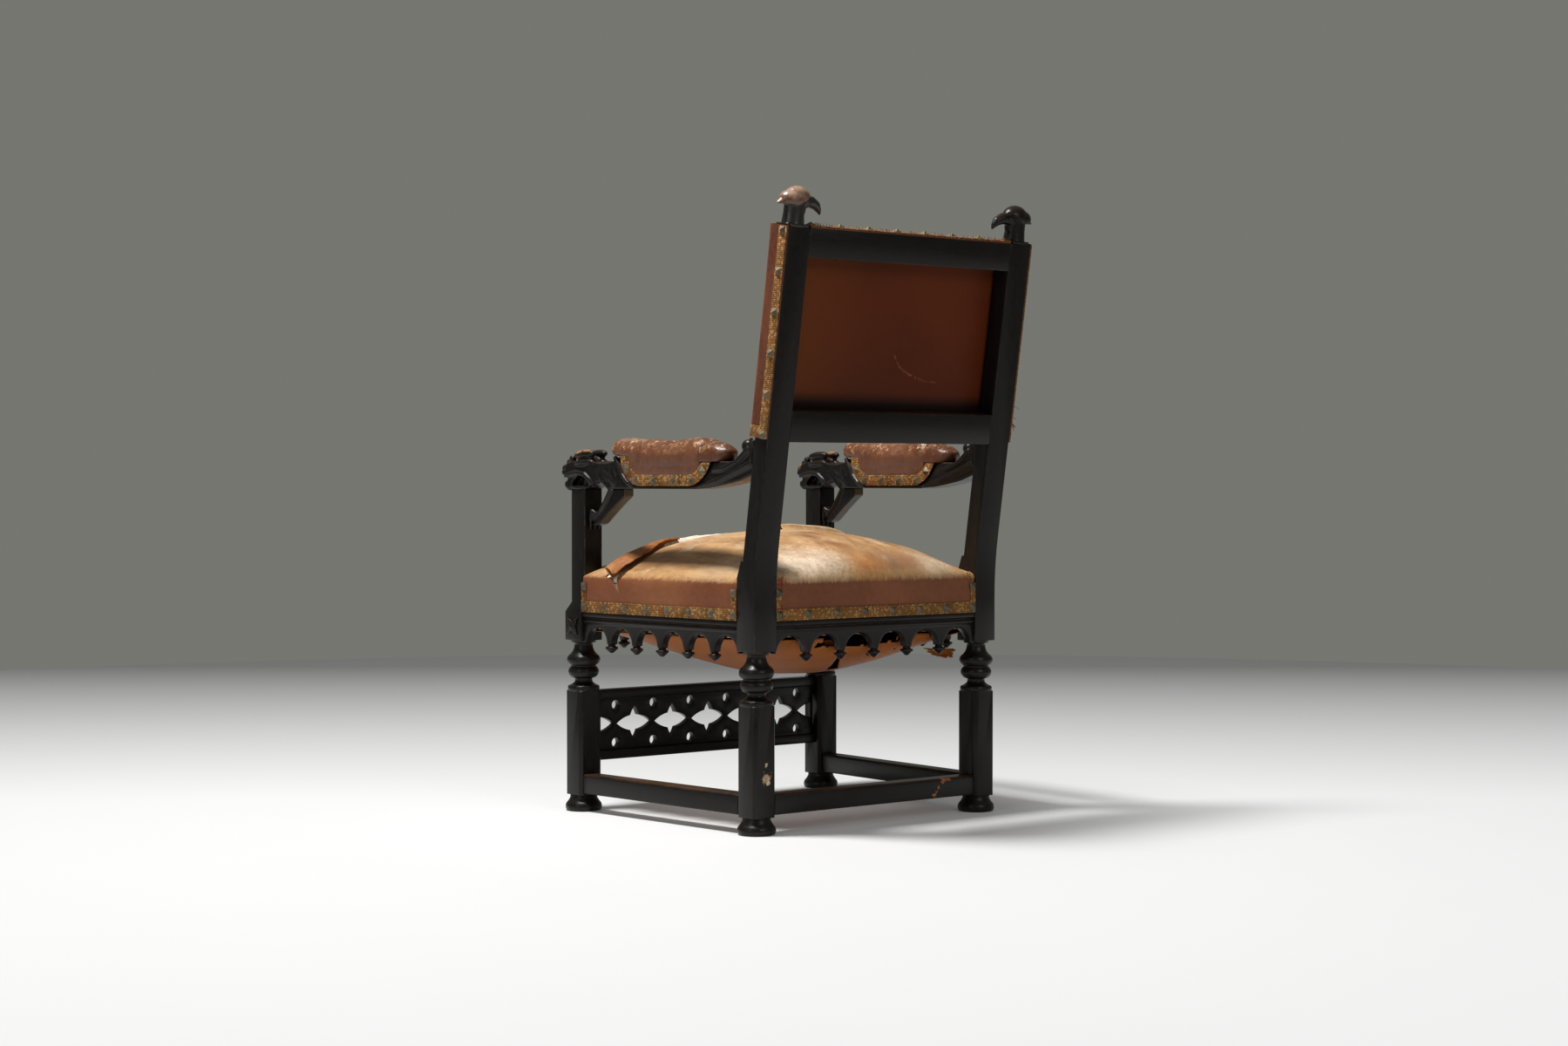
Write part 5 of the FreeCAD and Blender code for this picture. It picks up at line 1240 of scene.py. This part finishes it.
cheek_left = grid_sheet("back_cheek_left", 12, 70, cheek_point)
applied(cheek_left, "SOLIDIFY", thickness=HIDE, offset=-1)
in_edit(cheek_left, face_out)
bpy.ops.object.shade_smooth_by_angle(angle=CHEEK_SHARP)
leant(cheek_left)
cheek_right = other_side(cheek_left, "back_cheek_right")
lid = grid_sheet("back_lid", 60, 5, lid_point)
applied(lid, "SOLIDIFY", thickness=HIDE, offset=-1)
leant(lid)


def cheek_zones(place, cloud, streak, fine):
    colour = patchy(cloud, fine, 0.5, 0.36, 0.64, CHEEK_DARK, CHEEK_RED)
    scuffs = between(cloudy(place, 60, 8, 0.75), 0.62, 0.72, 0, 0.5)
    return mixed(scuffs, colour, CHEEK_SCUFF), between(fine, 0, 1, 0.0, 0.2)


cheek_hide = hide_finish("cheek leather", cheek_zones)
for piece in (cheek_left, cheek_right, lid):
    fitted(piece, cheek_hide, "red_leather")


def panel_point(across, along):
    x = across * PANEL_HALF
    z = PANEL_MIDDLE + along * PANEL_REACH
    belly = 3.0 * MM * noise.noise((x * 4, 0.2, z * 4))
    return Vector((x, PANEL_DEPTH + belly * (1 - across * across) * (1 - along * along), z))


back_panel = grid_sheet("back_panel", 70, 54, panel_point)
thickened(back_panel, HIDE)
leant(back_panel)


def panel_zones(place, cloud, streak, fine):
    """Deep red, warmer to the left, with a rubbed crease and a painted shadow along its foot behind the lower
    rail.
    """
    colour = patchy(cloudy(place, 3.5, 2, 0.4), fine, 0.85, 0.34, 0.66, PANEL_DEEP, PANEL_GLOW)
    colour = mixed(times(between(part(place, 0), -0.02, 0.24), 0.7), colour, PANEL_WARM)
    line = 0.0
    for k in range(CREASE_DOTS):
        at = on_curve(CREASE, k / (CREASE_DOTS - 1)) * MM
        line = plus(spot(place, at, 2.4 * MM, 2.2 * MM, 0.5), line)
    colour = mixed(times(line, 0.4), colour, PANEL_CREASE)
    # Painted shadow: the foot darkens where the lower rail shades it.
    foot = between(part(place, 2), PANEL_FOOT + 22 * MM, PANEL_FOOT + 2 * MM)
    return mixed(foot, colour, PANEL_SHADOW), between(fine, 0, 1, 0.0, 0.15)


panel_hide = hide_finish("outer back leather", panel_zones, gloss=(0.32, 0.5), shine=0.1)
fitted(back_panel, panel_hide, "red_leather", "back_outer_leather")
trimmings("back_*")

# Arm pads. Leather over a stuffed roll in the tray of each arm, seamed near the rear, with braid and nails
# along the scoop on both sides. The tops are worn through to pale leather.
PAD_SEAM = 352               # from the arm post, in millimetres
PAD_FOOT = 0.650             # below this the pad is nailed down
PAD_DARK, PAD_RED, PAD_REAR = (0.088, 0.029, 0.013, 1), (0.180, 0.068, 0.032, 1), (0.085, 0.025, 0.010, 1)
PAD_RUBBED, PAD_CRACK, PAD_POLISH_SHEEN = (0.50, 0.26, 0.10, 1), (0.70, 0.50, 0.30, 1), (0.30, 0.19, 0.15, 1)
arm_turn = Matrix.Rotation(math.radians(ARM_TURN), 3, "Z")


def bell(value, middle, spread):
    return math.exp(-((value - middle) / spread) ** 2)


def worn_pad(point):
    """Sags a pad where elbows lie, draws it in at its seam and lets its rear end droop."""
    across, forth, up = arm_turn.transposed() @ (point - Vector(ARM_AT)) / MM
    top = clamped((up - 55) / 25)
    up += top * (2.5 * bell(forth, 128, 34) - 4.5 * bell(forth, 258, 48) + 2.5 * bell(forth, 338, 26))
    lumpy = 0.9 * noise.noise((across / 16, forth / 22, 6.0))
    lumpy += 0.3 * noise.noise((across / 6, forth / 8, 2.0))
    up += top * lumpy
    seam = bell(forth, PAD_SEAM, 3.2) * clamped((up - 42) / 10)
    across *= 1 - 0.085 * seam
    up -= 2.4 * seam * top
    rear = clamped((forth - PAD_SEAM - 4) / 52)
    if rear:
        pleat = math.sin(forth / 2.6 + 0.12 * up) * rear
        across += math.copysign(0.7, across) * pleat
        up -= 0.25 * (up - 50) * rear * rear * top
        forth += 13 * rear ** 1.5
        if up < 60:
            up = 49.4 + max(up - 51.2, 0.0) * 10.6 / 8.8
    return arm_turn @ (Vector((across, forth, up)) * MM) + Vector(ARM_AT)


def arm_pad(name):
    pad = joined([cad_copy("arm_leather_left", name), cad_copy("arm_stuffing_left", name + "_filling")])
    applied(pad, "REMESH", mode="VOXEL", voxel_size=3.2 * MM)
    applied(pad, "SMOOTH", factor=0.5, iterations=4)
    stuffed(pad, pressure=3.0, most=5 * MM, stitched=lambda point: point.z < PAD_FOOT)
    applied(pad, "SUBSURF", levels=1, render_levels=1)
    for vertex in pad.data.vertices:
        vertex.co = worn_pad(vertex.co)
    bpy.ops.object.shade_smooth()
    return pad


def pad_zones(place, cloud, streak, fine):
    """Red, darker behind the seam, and rubbed, cracked and polished on top, with a painted sheen on faces
    that look up.
    """
    up = part(add(place, "NewGeometry", "Normal"), 2)
    height = part(place, 2)
    back = part(place, 1)
    colour = patchy(cloud, fine, 0.5, 0.35, 0.65, PAD_DARK, PAD_RED)
    colour = mixed(times(between(back, 0.070, 0.073), 0.7), colour, PAD_REAR)
    scuff = cloudy(place, 75, 8, 0.75)
    rubbed = times(between(height, 0.668, 0.692), between(scuff, 0.51, 0.64))
    colour = mixed(times(rubbed, 0.85), colour, PAD_RUBBED)
    split = times(between(cracked(place, 42), 0.035, 0.010), between(scuff, 0.50, 0.62))
    colour = mixed(times(split, between(height, 0.672, 0.684)), colour, PAD_CRACK)
    # Polish and painted sheen: a grey-pink tone on the front of the pad where faces look up.
    polish_and_sheen = times(between(up, 0.72, 0.97), between(cloud, 0.40, 0.58))
    polish_and_sheen = times(polish_and_sheen, between(back, -0.03, -0.08))
    return mixed(times(polish_and_sheen, 0.6), colour, PAD_POLISH_SHEEN), times(fine, 0.2)


pad_hide = hide_finish("arm pad leather", pad_zones, gloss=(0.26, 0.52), shine=0.4)
pad_left = arm_pad("arm_pad_left")
pad_right = other_side(pad_left, "arm_pad_right")
for piece, side in ((pad_left, "left"), (pad_right, "right")):
    fitted(piece, pad_hide, "red_leather", "arm_leather_" + side, "arm_stuffing_" + side)
    trimmings("arm_*_" + side)

# Loose threads. Frayed ends of the braid and of the red seam cord: at the seat's rear corners, along the top
# of the back and on the right stile.
THREAD = 0.45 * MM
THREAD_RED, THREAD_CRIMSON = (0.38, 0.06, 0.035, 1), (0.16, 0.02, 0.012, 1)
THREAD_BROWN = (0.30, 0.14, 0.05, 1)
TOP_TUFTS = 15               # along the top of the back


def new_threads(name):
    """An empty curve, round in section, to hold the threads of one colour."""
    bpy.ops.object.select_all(action="DESELECT")
    bpy.ops.curve.primitive_nurbs_path_add()
    threads = bpy.context.object
    threads.name = name
    threads.data.splines.clear()
    threads.data.bevel_depth = THREAD
    threads.data.bevel_resolution = 1
    return threads


def tuft(threads, at, hang, spread, length, count):
    """Short curling threads, from near a point along hang. Their spread and length are in millimetres."""
    for k in range(count):
        path = threads.data.splines.new("NURBS")
        path.points.add(4)
        path.use_endpoint_u = True
        point = Vector(at) + Vector([draw.uniform(-1, 1) * reach * MM for reach in spread])
        way = Vector(hang) + Vector([draw.uniform(-0.7, 0.7) for axis in range(3)])
        for knot in path.points:
            knot.co = (*point, 1)
            point = point + way.normalized() * length * MM / 4
            way = way + Vector([draw.uniform(-0.6, 0.6) for axis in range(3)])


def thread_finish(name, pale, dark):
    finish, place, shader = new_finish(name)
    tone = cloudy(place, 260, 4)
    fill(shader, {"Base Color": mixed(between(tone, 0.35, 0.65), dark, pale), "Roughness": 0.9})
    return finish


draw = random.Random(7)
red_threads = new_threads("loose_threads_red")
tan_threads = new_threads("loose_threads_tan")
braid_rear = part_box("seat_braid")[1].y - 1 * MM
cheek_side = -BACK_HALF - 1 * MM
tuft(red_threads, (0.232, braid_rear, 0.441), (0, 0.25, 0.8), (5, 0.5, 6), 15, 22)
tuft(red_threads, (0.234, braid_rear, 0.402), (0, 0.6, -0.3), (4, 0.5, 8), 8, 14)
tuft(red_threads, (cheek_side, 0.255, 0.752), (-0.25, 0.35, -1.5), (0.5, 3, 20), 24, 22)
tuft(tan_threads, (-0.229, braid_rear, 0.441), (0.2, 0.3, 0.6), (5, 0.5, 4), 11, 26)
for k in range(TOP_TUFTS):
    heap = red_threads if k % 4 == 1 else tan_threads
    at = (0.222 - 0.032 * k, 0.312, 1.062)
    tuft(heap, at, (0, 0.3, 0.8), (12, 3, 1), 9, 10 if k else 24)
for threads, pale, dark in ((red_threads, THREAD_RED, THREAD_CRIMSON),
                            (tan_threads, BRAID_CREAM, THREAD_BROWN)):
    only(threads)
    bpy.ops.object.convert(target="MESH")
    bpy.ops.object.transform_apply()
    bpy.ops.object.shade_smooth()
    fitted(threads, thread_finish(threads.name, pale, dark), "braid")
